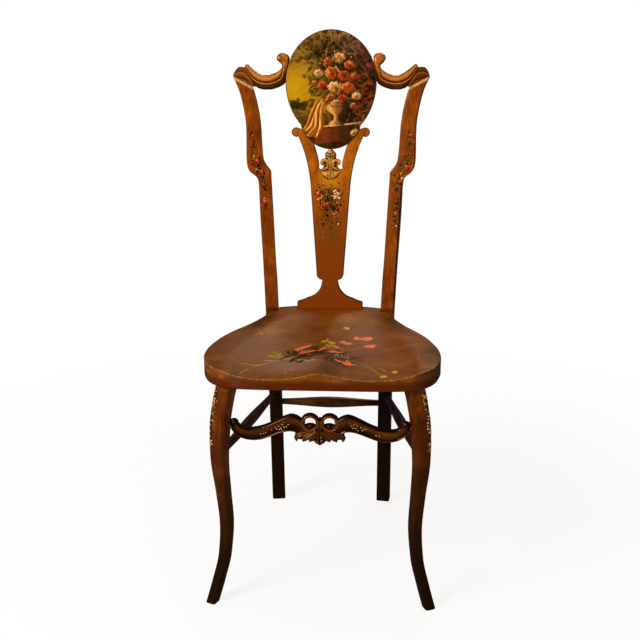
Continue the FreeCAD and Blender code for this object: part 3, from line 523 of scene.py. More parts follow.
# The rail's left arm is darkened as painted shade.
rail_finish = lacquer(
    "carved_rail_lacquer", ("#1A0902", "#2A1003", "#5A2A09"), "X",
    tone_clouds=(("#100501", (-0.1, 0, 0), (0.09, 0, 0), 0.8),),
    gloss=0.26, coat=0.25, speckle_span=(0.2, 0.4, 0.85), rubbed_and_lit="#A45618",
)
dark_finish = lacquer("dark_spindle_lacquer", ("#24120A", "#36200E", "#4C2C12"), "Y", gloss=0.3)


def gilding(name):
    """Bronze powder gilding on carved wood: a soft metallic gold that has gone patchy (about 6 mm), with dark
    glaze and painted shade in the cuts, at the rims and where the carving meets its ground."""
    finish, tree, shader, spots = new_finish(name)
    patches = add(tree, "ShaderNodeTexNoise", {"Vector": spots, "Scale": 170, "Detail": 3}).outputs["Fac"]
    stops = ((0.3, "#945812"), (0.5, "#C8882E"), (0.7, "#F0BE66"))
    tone = add(tree, "ShaderNodeValToRGB", {"Fac": patches}, stops=stops).outputs["Color"]
    grime = add(tree, "ShaderNodeAttribute", attribute_name="grime").outputs["Fac"]
    tone = add(tree, "ShaderNodeMix", {0: grime, 6: tone, 7: rgba("#1A0A02")}, data_type="RGBA").outputs[2]
    relief = add(tree, "ShaderNodeBump", {"Height": patches, "Strength": 0.3, "Distance": 0.0002})
    fill(tree, shader, {
        "Base Color": tone, "Normal": relief.outputs["Normal"], "Metallic": 0.25, "Roughness": 0.38,
    })
    return finish


def oil_paint(name, gloss, coat, shine=0.5):
    """Oil paint under a gloss varnish: the colour laid on by the brush, with ridges of the bristles about
    1.2 mm apart."""
    finish, tree, shader, spots = new_finish(name)
    cover = add(tree, "ShaderNodeAttribute", attribute_name="paint").outputs["Color"]
    ridges = add(tree, "ShaderNodeTexNoise", {"Vector": spots, "Scale": 800, "Detail": 3}).outputs["Fac"]
    ends = {"Value": ridges, "From Min": 0.3, "From Max": 0.7, "To Min": 0.85, "To Max": 1.1}
    light = add(tree, "ShaderNodeMapRange", ends).outputs["Result"]
    tone = add(tree, "ShaderNodeVectorMath", {0: cover, "Scale": light}, operation="SCALE").outputs["Vector"]
    relief = add(tree, "ShaderNodeBump", {"Height": ridges, "Strength": 0.4, "Distance": 0.00015})
    fill(tree, shader, {
        "Base Color": tone, "Normal": relief.outputs["Normal"], "Roughness": gloss,
        "Specular IOR Level": shine, "Specular Tint": rgba("#FFC070"), "Coat Weight": coat,
        "Coat Roughness": 0.08,
    })
    return finish


def turned_birch(name):
    """Plain birch pegs and plugs: pale, with fine streaks about 1 mm wide."""
    finish, tree, shader, spots = new_finish(name)
    streaks = add(tree, "ShaderNodeTexNoise", {"Vector": spots, "Scale": 900, "Detail": 3}).outputs["Fac"]
    stops = ((0.3, "#5A2E0C"), (0.7, "#74420F"))
    tone = add(tree, "ShaderNodeValToRGB", {"Fac": streaks}, stops=stops).outputs["Color"]
    fill(tree, shader, {"Base Color": tone, "Roughness": 0.5})
    return finish


def screw_steel(name):
    """Drawn steel wire screws: grey, with the fine scratches of the die (0.4 mm)."""
    finish, tree, shader, spots = new_finish(name)
    marks = add(tree, "ShaderNodeTexNoise", {"Vector": spots, "Scale": 2500, "Detail": 2}).outputs["Fac"]
    rough = add(tree, "ShaderNodeMapRange", {"Value": marks, "To Min": 0.3, "To Max": 0.5}).outputs["Result"]
    fill(tree, shader, {"Roughness": rough, "Base Color": rgba("#8A8884"), "Metallic": 1})
    return finish


gilt_finish = gilding("bronze_gilding")
stroke_finish = oil_paint("brushed_oil_colours", 0.34, 0.05)
picture_finish = oil_paint("varnished_picture", 0.3, 0.06, 0.34)
birch_finish = turned_birch("turned_birch")
steel_finish = screw_steel("drawn_steel")


# The seat

# The right half of the outline, from the middle of the front edge round the notch for the post.
SEAT_EDGE = (
    (0.0, 7.0), (32.0, 7.0), (65.0, 7.0), (100.0, 7.4), (129.9, 8.9), (145.0, 10.6), (157.5, 13.7),
    (169.0, 18.8), (178.5, 25.4), (188.0, 35.0), (195.6, 47.0), (201.6, 62.0), (206.3, 81.0), (208.8, 97.0),
    (209.3, 112.0), (208.3, 132.0), (205.2, 153.0), (200.0, 174.0), (192.3, 200.0), (182.7, 223.0),
    (170.0, 248.0), (156.0, 272.0), (147.0, 290.0), (139.0, 307.5), (131.6, 326.0), (125.1, 345.0),
    (121.0, 360.0), (118.3, 372.2),
)
SEAT_NOTCH = ((102.1, 374.6), (105.0, 398.8))
SEAT_REAR = ((84.0, 405.7), (61.8, 411.2), (41.0, 414.4), (20.0, 416.4), (0.0, 417.0))
SEAT_MIDDLE = (0.0, 200.0)
HOLLOW_MIDDLE = (80.0, 89.0)
HOLLOW_TURN = math.radians(8)
HOLLOW_DEPTH = 13.0
HOLLOW_BULGE = 60.0
HOLLOW_HALVES = (84.0, 270.0)
HOLLOW_BRIM = 2.2
SEAT_TOP_ARRIS = 1.8
SEAT_LOW_ARRIS = 4.0


def seat_height(x, y):
    """The height of the saddled top: two long bowls, each part of an ellipsoid turned a little outwards, cut
    into a level board, with the brims eased over about five millimetres."""
    spread = math.sqrt(1 - ((HOLLOW_BULGE - HOLLOW_DEPTH) / HOLLOW_BULGE) ** 2)
    top = np.full(np.shape(x), SEAT_TOP)
    for side in (-1, 1):
        dx, dy = x - side * HOLLOW_MIDDLE[0], y - HOLLOW_MIDDLE[1]
        c, s = math.cos(HOLLOW_TURN), side * math.sin(HOLLOW_TURN)
        u = (dx * c + dy * s) * spread / HOLLOW_HALVES[0]
        v = (dy * c - dx * s) * spread / HOLLOW_HALVES[1]
        curve = np.sqrt(np.clip(1 - u * u - v * v, 0.02, 1))
        bowl = SEAT_TOP + HOLLOW_BULGE - HOLLOW_DEPTH - HOLLOW_BULGE * curve
        gap = bowl - top
        brim = top - (HOLLOW_BRIM - gap) ** 2 / (4 * HOLLOW_BRIM)
        top = np.where(np.abs(gap) < HOLLOW_BRIM, brim, np.minimum(top, bowl))
    return top


def on_seat(x, y, lift):
    """Points a little above the seat's top."""
    return np.stack([x, FRONT + y, seat_height(x, y) + lift], -1)


def seat_line():
    """The closed outline of the seat, smooth but for the notches' corners."""
    front = smooth_run(SEAT_EDGE, 165)
    notch = arc_run((SEAT_EDGE[-1], *SEAT_NOTCH), 3.0)
    rear = smooth_run((SEAT_NOTCH[-1], *SEAT_REAR), 28)
    return both_sides(np.concatenate([front, notch[1:], rear[1:]]))


def seat_piece():
    """The whole seat as spokes from its middle: over the top, round the upper arris, down the edge, round the
    lower arris and back under the board."""
    line = seat_line()
    out = offsets(line)
    inner = np.concatenate([0.9 * np.linspace(0, 1, 110) ** 0.8, np.linspace(0.91, 1, 24)])[:, None, None]
    rim = line - out * SEAT_TOP_ARRIS
    top_plan = SEAT_MIDDLE + (rim - SEAT_MIDDLE)[None] * inner
    top_z = seat_height(top_plan[..., 0], top_plan[..., 1])
    inset, drop = arris_curve(SEAT_TOP_ARRIS, 6)
    arris_plan = line[None] - out[None] * inset[1:, None, None]
    arris_z = seat_height(arris_plan[..., 0], arris_plan[..., 1]) - drop[1:, None]
    wall = np.linspace(0, 1, 6)[1:-1][:, None]
    wall_plan = np.broadcast_to(line, (len(wall), *line.shape))
    wall_z = arris_z[-1] * (1 - wall) + (SEAT_BOTTOM + SEAT_LOW_ARRIS) * wall
    inset, drop = arris_curve(SEAT_LOW_ARRIS, 6)
    low_plan = line[None] - out[None] * inset[::-1, None, None]
    low_z = np.broadcast_to((SEAT_BOTTOM + drop[::-1])[:, None], low_plan.shape[:2])
    under = np.linspace(1, 0, 10)[1:, None, None]
    under_plan = SEAT_MIDDLE + (low_plan[-1] - SEAT_MIDDLE)[None] * under
    under_z = np.full(under_plan.shape[:2], SEAT_BOTTOM)
    plan = np.concatenate([top_plan, arris_plan, wall_plan, low_plan, under_plan])
    z = np.concatenate([top_z, arris_z, wall_z, low_z, under_z])
    points = np.stack([plan[..., 0], plan[..., 1] + FRONT, z], -1)

    # The arris is rubbed, most of all in front. Painted shade darkens the right side of the middle ridge
    # towards the front, and the edge and underside, most of all towards the right side.
    first = len(top_z)
    across, back = plan[..., 0], plan[..., 1]
    wear = np.zeros(z.shape)
    wear[first - 1 : first + 4] = np.array([0.25, 0.7, 1, 0.7, 0.2])[:, None]
    wear *= 0.25 + 0.75 * smooth_step(120, 20, back)
    ridge_right = smooth_step(-1.5, 1.5, across) * smooth_step(52, 8, across)
    grime = 0.38 * (ridge_right * smooth_step(120, 40, back))
    grime[first + 2 :] = 0.14 + 0.55 * smooth_step(150, 205, across[first + 2 :])
    return patch(points, wear=wear, grime=grime)


SEAT_BOARDS = ("seat_board_front", "seat_board_middle", "seat_board_rear")
build("seat", [seat_piece()], seat_finish, SEAT_BOARDS)

# The front legs

# At heights above the floor, shares of the sweep inwards and back, and of the growth in size.
LEG_HEIGHTS = (0.0, 39.6, 89.6, 149.1, 209.0, 278.8, 338.2, 388.2, 413.0)
LEG_SWEEPS = (0.0, 0.32, 0.65, 0.768, 0.677, 0.559, 0.623, 0.832, 1.0)
LEG_GROWTHS = (0.0, 0.02, 0.02, 0.12, 0.24, 0.58, 0.84, 0.9, 1.0)
LEG_SPREAD = 195.5
LEG_SWEEP = 35.5
LEG_SWEEP_BACK = 30.0
LEG_FOOT_INSET = 11.6
LEG_SIDES = (20.0, 33.0)
LEG_CORNER = 0.26
LEG_TURN = math.radians(25)


def leg_ring(z, steps=6):
    """Rounded squares up the right leg: their middle follows the sweep, their side grows upwards, and all are
    turned alike."""
    z = np.asarray(z, float)
    sweep, growth = flow(z, LEG_HEIGHTS, LEG_SWEEPS), flow(z, LEG_HEIGHTS, LEG_GROWTHS)
    half = ((LEG_SIDES[0] + (LEG_SIDES[1] - LEG_SIDES[0]) * growth) / 2)[:, None]
    across, along, c, s = rounded_loop(steps)
    corner = 2 * half * LEG_CORNER
    u = across * (half - corner) + corner * c
    v = along * (half - corner) + corner * s
    c, s = math.cos(LEG_TURN), math.sin(LEG_TURN)
    x = LEG_SPREAD - LEG_SWEEP * sweep[:, None] + u * c - v * s
    y = LEG_FOOT_INSET + LEG_SWEEP_BACK * sweep[:, None] + u * s + v * c
    return np.stack([x, FRONT + y, np.broadcast_to(z[:, None], x.shape)], -1)


def leg_piece():
    """The leg from the floor to the seat, its foot eased by a millimetre."""
    z = np.concatenate([[0.0, 0.4, 1.2], np.linspace(4, SEAT_BOTTOM, 150)])
    rings = leg_ring(z)
    middle = rings.mean(1, keepdims=True)
    ease = np.concatenate([[0.93, 0.98], np.ones(len(z) - 2)])[:, None, None]
    return middle + (rings - middle) * ease


for name, flip in (("front_leg_right", 1), ("front_leg_left", -1)):
    build(name, [tube(leg_piece() * (flip, 1, 1))], leg_finish, (name,))

# The back posts

# The right post's two edges: heights above the seat's top, and how far out from the post's upright line.
POST_OUTER = (
    (-445, 5.2), (-205, 8.6), (-30, 12.1), (14, 13.3), (62, 14.6), (110, 16.1), (157, 18.0), (204, 19.4),
    (240, 20.0), (252, 20.6), (259, 22.2), (264, 25.0), (268, 29.5), (272, 35.0), (277, 39.2), (285, 42.2),
    (297, 43.6), (312, 43.5), (332, 42.9), (350, 42.6), (367, 43.0), (390, 45.8), (405, 48.4), (420, 51.6),
    (435, 56.3), (457, 65.9),
)
POST_INNER = (
    (-445, -22.6), (-205, -18.6), (-30, -14.1), (14, -13.4), (62, -12.2), (110, -10.2), (157, -8.8),
    (204, -7.3), (240, -6.2), (263, -5.4), (273.5, -5.3), (274.5, -4.6), (279, -1.4), (285, 3.2),
    (291, 6.6), (297, 8.8), (312, 10.5), (332, 11.5), (350, 12.0), (367, 12.8), (390, 15.6), (405, 18.4),
    (420, 21.8), (435, 26.3), (457, 34.0),
)
POST_ARRIS = 2.6
POST_FOOT = -445
POST_SEAT_BOTTOM = -32
POST_KICK = 42
# The post's thickness from front to back, at its foot, in the seat and at its top.
POST_DEPTH_RISES = (POST_FOOT, POST_SEAT_BOTTOM, 0, 460)
POST_DEPTHS = (24, 27, 27, 21)
POST_TOP_RISE = 447.3
POST_TOP_SLOPE = 17.4
POST_TOP_FACET = 4.2
POST_FACET_RISE = 7.5
# The film of air that keeps the plugs in the post's back just proud.
POST_SHRINK = 0.15


def post_front(z):
    """The depth of the post's front face: kicked back to the foot, upright in the seat, then raked."""
    lower = np.interp(z, (POST_FOOT, POST_SEAT_BOTTOM), (POST_KICK, 0))
    return np.where(z > 0, z * math.tan(BACK_RAKE), lower) + POST_SHRINK


def post_piece():
    """Rounded rectangles up the post, between its two sawn edges and its front and back faces. Near the top
    the sections tilt until they lie on the sloping joint, and the front is chamfered there."""
    z = np.concatenate([
        [POST_FOOT, POST_FOOT + 0.8], np.linspace(-440, 236, 120), np.linspace(239, 300, 62),
        np.linspace(303, 436, 60), np.linspace(438, POST_TOP_RISE, 16),
    ])
    across, along, c, s = rounded_loop(5)
    tilt = smooth_step(395, 440, z)[:, None] * across * POST_TOP_SLOPE / 2
    level = z[:, None] + tilt
    outer = flow(level, *np.array(POST_OUTER).T) - POST_SHRINK
    inner = flow(level, *np.array(POST_INNER).T) + POST_SHRINK
    front = post_front(level)
    depth = np.interp(level, POST_DEPTH_RISES, POST_DEPTHS) - 2 * POST_SHRINK
    facet_low = POST_TOP_RISE - POST_FACET_RISE
    facet = smooth_step(facet_low, POST_TOP_RISE, z)[:, None] * POST_TOP_FACET
    middle_x, half_x = (outer + inner) / 2, (outer - inner) / 2
    front = front + np.where(along < 0, facet, 0)
    x = middle_x + across * (half_x - POST_ARRIS) + POST_ARRIS * c
    y = np.where(along < 0, front + POST_ARRIS * (1 + s), front + depth - POST_ARRIS * (1 - s))
    # The lowest ring is drawn in. Painted shade lies where the post enters the seat and down its sides,
    # and a painted highlight lights the facet at its top.
    x[0] -= 0.8 * c
    seat_grime = smooth_step(-6, 0, z) * smooth_step(7, 2, z) * 0.8
    grime = np.maximum(seat_grime[:, None], 0.62 * np.abs(c) ** 1.5)
    facet_highlight = smooth_step(facet_low, facet_low + 2.5, z)[:, None] * np.where(along < 0, 1.0, 0.0)
    return in_post(np.stack([x, y, level], -1)), grime, facet_highlight


post_rings, post_grime, post_facet_highlight = post_piece()
for name, flip in (("back_post_right", 1), ("back_post_left", -1)):
    post = tube(post_rings * (flip, 1, 1), grime=post_grime, wear=post_facet_highlight)
    build(name, [post], back_finish, (name,), sharp=35)

# The crest arms

# Pairs of points on the hook's outer and inner edges, from the volute round to its end above the post.
CREST_HOOK = (
    (107.0, 938.0, 106.0, 935.0), (103.5, 943.6, 103.0, 930.6), (96.5, 946.4, 99.4, 927.4),
    (88.5, 945.0, 97.2, 924.8), (82.8, 939.0, 96.4, 922.0), (83.5, 929.0, 97.2, 918.8),
    (86.5, 917.5, 100.4, 914.4), (89.2, 903.0, 104.9, 911.3), (90.5, 893.0, 110.0, 909.0),
    (97.0, 886.5, 116.5, 907.0), (109.0, 881.3, 124.0, 904.8), (121.0, 878.6, 131.5, 904.8),
    (133.0, 878.4, 139.5, 907.5), (144.0, 881.0, 147.5, 912.4), (153.5, 887.5, 154.5, 917.6),
    (161.0, 898.0, 160.5, 922.4), (167.0, 909.0, 164.0, 925.2), (170.5, 917.5, 167.5, 925.0),
)
# Shares of the width, depth behind the front, dark glaze with painted shade, and rubbing with painted
# highlights.
CREST_PROFILE = (
    (0.00, 13.0, 1.0, 0.0), (0.06, 9.5, 0.9, 0.0), (0.16, 5.6, 0.8, 0.0), (0.26, 2.4, 0.75, 0.0),
    (0.31, 0.6, 0.2, 0.4), (0.345, 0.2, 0.0, 0.75), (0.38, 0.8, 0.3, 0.3), (0.43, 3.6, 1.0, 0.0),
    (0.48, 2.9, 0.8, 0.0), (0.56, 1.3, 0.15, 0.1), (0.68, 0.1, 0.0, 0.7), (0.80, 0.9, 0.0, 0.4),
    (0.90, 3.0, 0.1, 0.1), (0.96, 5.4, 0.6, 0.0), (1.00, 8.0, 1.0, 0.0),
)
CREST_EAR = (
    (151.0, 882.6, 152.5, 889.0), (156.5, 885.1, 157.5, 898.0), (162.0, 887.6, 162.8, 909.5),
    (167.0, 889.8, 167.8, 917.4), (172.0, 892.0, 174.0, 920.2), (177.0, 894.2, 181.0, 920.0),
    (182.0, 896.5, 187.0, 915.5), (187.0, 898.8, 190.2, 910.0), (190.5, 900.6, 191.8, 905.5),
    (192.4, 902.0, 192.6, 903.4),
)
# The ear's profile in the same columns: shares of the width, depth behind the front, dark glaze with painted
# shade, and rubbing with painted highlights.
EAR_PROFILE = (
    (0.00, 3.0, 0.6, 0.0), (0.08, 1.2, 0.4, 0.25), (0.16, 2.6, 0.95, 0.0), (0.30, 1.2, 0.7, 0.0),
    (0.48, 0.4, 0.5, 0.1), (0.58, 0.2, 0.3, 0.3), (0.66, 1.6, 0.9, 0.0), (0.80, 1.2, 0.6, 0.1),
    (0.92, 3.4, 0.7, 0.0), (1.00, 6.0, 1.0, 0.0),
)
CREST_THICKNESS = 24.0
CREST_PLAIN_SHARE = 0.36
EAR_THICKNESS = 22.0
EAR_SET_BACK = 0.6
VOLUTE_MIDDLE = (100.4, 936.6)
VOLUTE_RADII = (6.4, 6.8)
VOLUTE_HEIGHT = 4.2
VOLUTE_SET_BACK = 3.4
VOLUTE_GROOVE = (0.8, 0.5)


def crest_rise(z):
    """From heights above the floor to distances up the leaning back."""
    return (z - SEAT_TOP) / math.cos(BACK_RAKE)


def crest_pairs(table):
    """A table of pairs with its heights turned to distances up the back."""
    pairs = np.array(table, float)
    pairs[:, 1::2] = crest_rise(pairs[:, 1::2])
    return pairs


def crest_patches(flip):
    """The hook, the ear above the post and the ball of the volute."""
    place = lambda points: in_back(points) * (flip, 1, 1)
    hook, ear = crest_pairs(CREST_HOOK), crest_pairs(CREST_EAR)
    ball = (VOLUTE_MIDDLE[0], crest_rise(VOLUTE_MIDDLE[1]))
    ear_front, ball_front = EAR_SET_BACK - CREST_PROUD, VOLUTE_SET_BACK - CREST_PROUD
    return [
        moulding(hook, CREST_PROFILE, CREST_THICKNESS, place, -CREST_PROUD, 220, CREST_PLAIN_SHARE),
        moulding(ear, EAR_PROFILE, EAR_THICKNESS, place, ear_front, 90),
        dome(place, ball, VOLUTE_RADII, VOLUTE_HEIGHT, ball_front, groove=VOLUTE_GROOVE),
    ]


for name, flip in (("crest_arm_right", 1), ("crest_arm_left", -1)):
    build(name, crest_patches(flip), crest_finish, (name,), sharp=60)

# The oval panel and its picture

PANEL_HALF_WIDTH = 89.6
PANEL_REACHES = (99.4, 111.6)
PANEL_DROP = 131.0
PANEL_CHIN = 60.8
PANEL_KINK = math.radians(48.4)
PANEL_ARRIS = 2.4
PANEL_MIDDLE = (0.0, -12.0)
PICTURE_RINGS = 100


def panel_line(count=480):
    """The panel's outline: an ellipse whose lower half is longer, cut off by the rounder circle of its chin
    where that lies inside it."""
    angle = full_turn(count)
    c, s = np.cos(angle), np.sin(angle)
    reach = np.where(s > 0, *PANEL_REACHES)
    x, h = PANEL_HALF_WIDTH * c, reach * s
    kink = -PANEL_REACHES[1] * math.sin(PANEL_KINK)
    half = math.acos(1 - (kink + PANEL_DROP) / PANEL_CHIN)
    turn = np.linspace(-1, 1, count // 5) * half - math.pi / 2
    chin = np.stack([PANEL_CHIN * np.cos(turn), PANEL_CHIN * np.sin(turn) + PANEL_CHIN - PANEL_DROP], 1)
    oval = np.stack([x, h], 1)[h > kink]
    start = np.argmin(np.abs(oval[:, 1] - kink) + np.where(oval[:, 0] < 0, 500, 0))
    return np.concatenate([np.roll(oval, -start, 0), chin])


def dab(canvas, at, size, angle, colour, cover=1.0, bend=0.0):
    """Lays one stroke of the brush on the canvas (the colours of its points, and their two coordinates): an
    ellipse of a length and a width, turned by an angle and bent sideways, solid in the middle, feathered
    towards its rim and streaked by the bristles."""
    picture, x, h = canvas
    reach = max(size) + abs(bend) * size[1]
    near = (np.abs(x - at[0]) < reach) & (np.abs(h - at[1]) < reach)
    dx, dy = x[near] - at[0], h[near] - at[1]
    c, s = math.cos(angle), math.sin(angle)
    u = (dx * c + dy * s) / size[0]
    v = (dy * c - dx * s) / size[1] + bend * (u * u - 0.4)
    bristles = 0.8 + 0.2 * np.cos(11 * v + at[0] + at[1])
    film = (np.clip((1 - u * u - v * v) * 2.2, 0, 1) * bristles)[:, None] * cover
    picture[near] += (linear(colour) - picture[near]) * film


def sweep(canvas, points, width, colour, cover=0.9):
    """A long stroke through points, laid as a row of dabs that follow it and get narrower at both ends."""
    points = np.array(points, float)
    count = int(way_along(points)[-1] / 2.4) + 2
    line = smooth_run(points, count)
    turn = np.arctan2(*np.gradient(line, axis=0).T[::-1])
    thick = width * (0.35 + 0.65 * np.sin(np.linspace(0.1, math.pi - 0.1, count)))
    for spot, angle, half in zip(line, turn, thick):
        dab(canvas, spot, (4.0, half), angle, colour, cover)


def rose(canvas, at, radius, chance, tones):
    """A full-blown rose: a loose dark mass, then petals as bent strokes that cup round a heart set a little
    high, wide and pale at the outside to the upper left, small and deep within. Tones run from shadow to
    light."""
    squash, lean = chance.uniform(0.72, 0.95), chance.uniform(-0.5, 0.5)
    for _ in range(6):
        spot = (at[0] + chance.normal(0, radius * 0.3), at[1] + chance.normal(0, radius * 0.25))
        dab(canvas, spot, (radius * 0.8, radius * 0.6), chance.uniform(0, HALF_TURN), tones[0])
    heart = at[1] + radius * 0.1
    for ring, petals, length in ((0.88, 6, 0.62), (0.66, 5, 0.5), (0.44, 4, 0.36), (0.22, 3, 0.22)):
        first = chance.uniform(0, math.tau)
        for count in range(petals):
            angle = first + math.tau * (count + chance.uniform(-0.25, 0.25)) / petals
            away = radius * ring * chance.uniform(0.85, 1.1)
            spot = (at[0] + away * math.cos(angle), heart + away * squash * math.sin(angle + lean * 0.3))
            light = 0.5 + 0.5 * math.cos(angle - 2.2)
            level = light * 2.0 * ring + 0.9 + chance.uniform(-0.5, 0.6)
            size = (radius * length, radius * 0.2)
            turn = angle + math.pi / 2
            under = (spot[0] - radius * 0.1 * math.cos(angle), spot[1] - radius * 0.1 * math.sin(angle))
            dab(canvas, under, size, turn, tones[0], 0.7, 0.9)
            dab(canvas, spot, size, turn, tones[int(np.clip(level, 0, 3))], 0.95, 0.9)
    dab(canvas, (at[0], heart), (radius * 0.14, radius * 0.1), 0.3, tones[0])


# The picture's strokes lie any way round within about half a turn.
HALF_TURN = 3.1
ANY_WAY = (0, HALF_TURN)
BLOCK_TONES = ("#80340E", "#68280A", "#4C1E08", "#361406")
URN_TONES = ("#D09048", "#E8A458", "#C88038", "#A86228", "#84501F", "#643A14", "#4A280E", "#34190A")
# The urn's half widths, at shares of its height from the foot.
URN_SHARES = (0, 0.1, 0.2, 0.34, 0.6, 0.8, 0.9, 1)
URN_HALVES = (15, 13, 5, 5, 19, 20, 15, 22)
URN_HEIGHT = 50
URN_FOOT = (12, -84)
# The cloth's broad folds: how far to the side, width, tone and cover. Fine ones are scattered over them.
FOLDS = (
    (-2, 7.0, "#8C3C0C", 0.8), (7, 7.0, "#B05A14", 0.8), (16, 7.0, "#B86418", 0.8),
    (25, 7.0, "#8E3E0C", 0.8), (2, 4.0, "#C87A22", 0.5), (11, 5.0, "#E09A38", 0.5),
    (21, 4.0, "#C87620", 0.5), (5, 2.4, "#7A300A", 0.5), (16, 2.0, "#84380C", 0.45),
    (26, 2.6, "#6E2A08", 0.5), (10, 1.8, "#F4C060", 0.6), (22, 1.4, "#EEAE4C", 0.5),
    (-1, 1.4, "#E0983A", 0.5), (31, 1.4, "#C8782A", 0.4),
)
FINE_FOLD_TONES = ("#702A06", "#B85C10", "#EC9A34", "#FCC868")
WARM_ROSE = ("#521806", "#A84210", "#E08434", "#FACC7C")
CORAL_ROSE = ("#441004", "#963010", "#D05C22", "#F29C58")
CREAM_ROSE = ("#6E3810", "#C07C38", "#F0C47C", "#FEECC0")
# The roses: middle, radius and tones.
ROSES = (
    (-6, 36, 10, CORAL_ROSE), (16, 44, 11, CREAM_ROSE), (36, 30, 10, WARM_ROSE), (48, 8, 8, CORAL_ROSE),
    (-24, 14, 9, CREAM_ROSE), (2, 14, 14, WARM_ROSE), (26, 8, 13, CORAL_ROSE), (-16, -10, 11, CORAL_ROSE),
    (8, -14, 14, CREAM_ROSE), (34, -14, 12, WARM_ROSE), (50, -30, 8, CREAM_ROSE), (-2, -32, 8, WARM_ROSE),
    (22, -33, 9, CORAL_ROSE), (-33, -4, 6, WARM_ROSE), (44, -48, 6, CORAL_ROSE), (60, -84, 6, WARM_ROSE),
    (47, -100, 7, CREAM_ROSE),
)
ROSE_LEAVES = ("#1C2408", "#2C340E", "#3E4414", "#141206", "#50501A", "#4A2A0C")


def garden(x, h):
    """The picture: an evening sky that glows at the left under dark trees, a stone urn with roses on a red
    block, and a silk cloth that falls from it. Strokes go from the far things to the near ones. Coordinates
    are millimetres from the panel's middle."""
    chance = np.random.default_rng(18)
    picture = np.tile(linear("#9C6C0A"), (len(x), 1))
    glow = np.exp(-(((x + 70) / 34) ** 2) - ((h + 14) / 36) ** 2)
    washes = (
        (smooth_step(-40, 95, h), "#7A5420"), (glow, "#C08E0A"),
        (smooth_step(-38, 12, x + 0.25 * h), "#1E1105"), (0.92 * smooth_step(-52, -92, h), "#1C0F05"),
    )
    for share, colour in washes:
        picture += (linear(colour) - picture) * share[:, None]
    canvas = (picture, x, h)

    def foliage(count, middle, spread, length, width, turn, colours, cover=0.8):
        """Loose strokes scattered about a place."""
        for _ in range(count):
            spot = chance.normal(middle, spread)
            size = (chance.uniform(*length), chance.uniform(*width))
            angle = chance.uniform(*turn)
            colour = colours[chance.integers(len(colours))]
            dab(canvas, spot, size, angle, colour, cover, chance.uniform(-0.5, 0.5))

    # Count, middle, spread, lengths, widths, turns, colours and, where it isn't 0.8, cover.
    loose = (
        (60, (-50, 20), (26, 34), (8, 16), (2, 4), (-0.2, 0.6), ("#A87C10", "#BC9016", "#8A6410"), 0.3),
        (260, (-8, 62), (34, 17), (4, 9), (2, 4), ANY_WAY,
            ("#34260A", "#44320E", "#241907", "#604614", "#7A561C")),
        (240, (4, 14), (22, 34), (4, 10), (2, 5), ANY_WAY,
            ("#130D04", "#1B1306", "#221907", "#0D0903", "#2B1F09")),
        (200, (62, 2), (17, 42), (4, 9), (2, 4), ANY_WAY,
            ("#2B1007", "#3D180C", "#1F0C06", "#4E210D", "#120904")),
        (70, (48, 66), (22, 18), (6, 13), (0.6, 1.1), (1.8, 2.7),
            ("#7A5A4A", "#5A4238", "#94745E", "#1A0E08"), 0.5),
        (40, (70, 40), (12, 20), (5, 10), (2, 4), ANY_WAY, ("#5A3026", "#6E3C2C", "#43201A"), 0.35),
        (70, (66, -34), (12, 30), (5, 11), (2, 4), ANY_WAY,
            ("#7A3010", "#8E3E14", "#5A220C", "#A04C16"), 0.5),
        (60, (-66, -46), (13, 5), (4, 7), (2.5, 4), ANY_WAY, ("#2E2208", "#402E0C", "#1E1606"), 0.9),
        (260, (0, -98), (52, 20), (5, 12), (2, 4), (-0.4, 0.4),
            ("#1D1506", "#2A1A08", "#36200A", "#130E05", "#40260D")),
        (60, (-60, -76), (16, 9), (5, 10), (2, 3), (-0.3, 0.3), ("#4C3C12", "#5A4414", "#3A2E0E"), 0.7),
        (50, (52, -66), (15, 14), (4, 8), (0.8, 1.6), ANY_WAY, ("#6A4A16", "#8A5A20", "#3A1A0A"), 0.6),
    )
    for row in loose:
        foliage(*row)
    # The block: its lit top, then its front in short level strokes.
    for level in np.linspace(-117, -92, 10):
        for across in np.linspace(-26, 50, 9):
            spot = (across + chance.uniform(-2, 2), level + across * 0.1)
            dab(canvas, spot, (7, 2), 0.12, BLOCK_TONES[int((across + 26) / 20)], 0.85)
    sweep(canvas, ((-32, -89), (10, -85), (58, -80)), 2.0, "#E09A58")
    # The urn, turned of stone and lit from the left.
    for share in np.arange(30) / 29:
        half = float(flow(share, URN_SHARES, URN_HALVES))
        for across in np.linspace(-1, 1, 8):
            spot = (URN_FOOT[0] + across * half * 0.86, URN_FOOT[1] + URN_HEIGHT * share)
            dab(canvas, spot, (half / 5 + 1.2, 1.7), 0, URN_TONES[int((across + 1) * 3.5)], 0.9)
    sweep(canvas, ((-11, -34), (12, -38), (35, -34)), 1.2, "#F2CC94", 0.7)
    sweep(canvas, ((-6, -44), (12, -49), (30, -45)), 0.9, "#3A1C0A", 0.7)
    # The cloth, from the urn's rim to the ground, in folds from shadow to light.
    fine_folds = []
    for aside in chance.uniform(-4, 33, 34):
        tone = FINE_FOLD_TONES[int(np.clip(1.7 + 1.6 * math.sin(aside * 0.62), 0, 3))]
        fine_folds.append((aside, chance.uniform(0.6, 1.5), tone, 0.4))
    for aside, width, tone, cover in (*FOLDS, *fine_folds):
        fall = (
            (4 - aside * 0.35, -31 - aside * 0.1), (-14 - aside * 0.2, -40 + aside * 0.2),
            (-22 - aside * 0.5 + 3 * math.sin(aside * 0.31), -60), (-19 - aside * 0.9, -84),
            (-30 - aside * 1.1 + 6 * math.sin(aside * 0.5), -106 + 5 * aside / 34),
        )
        sweep(canvas, fall, width, tone, cover)
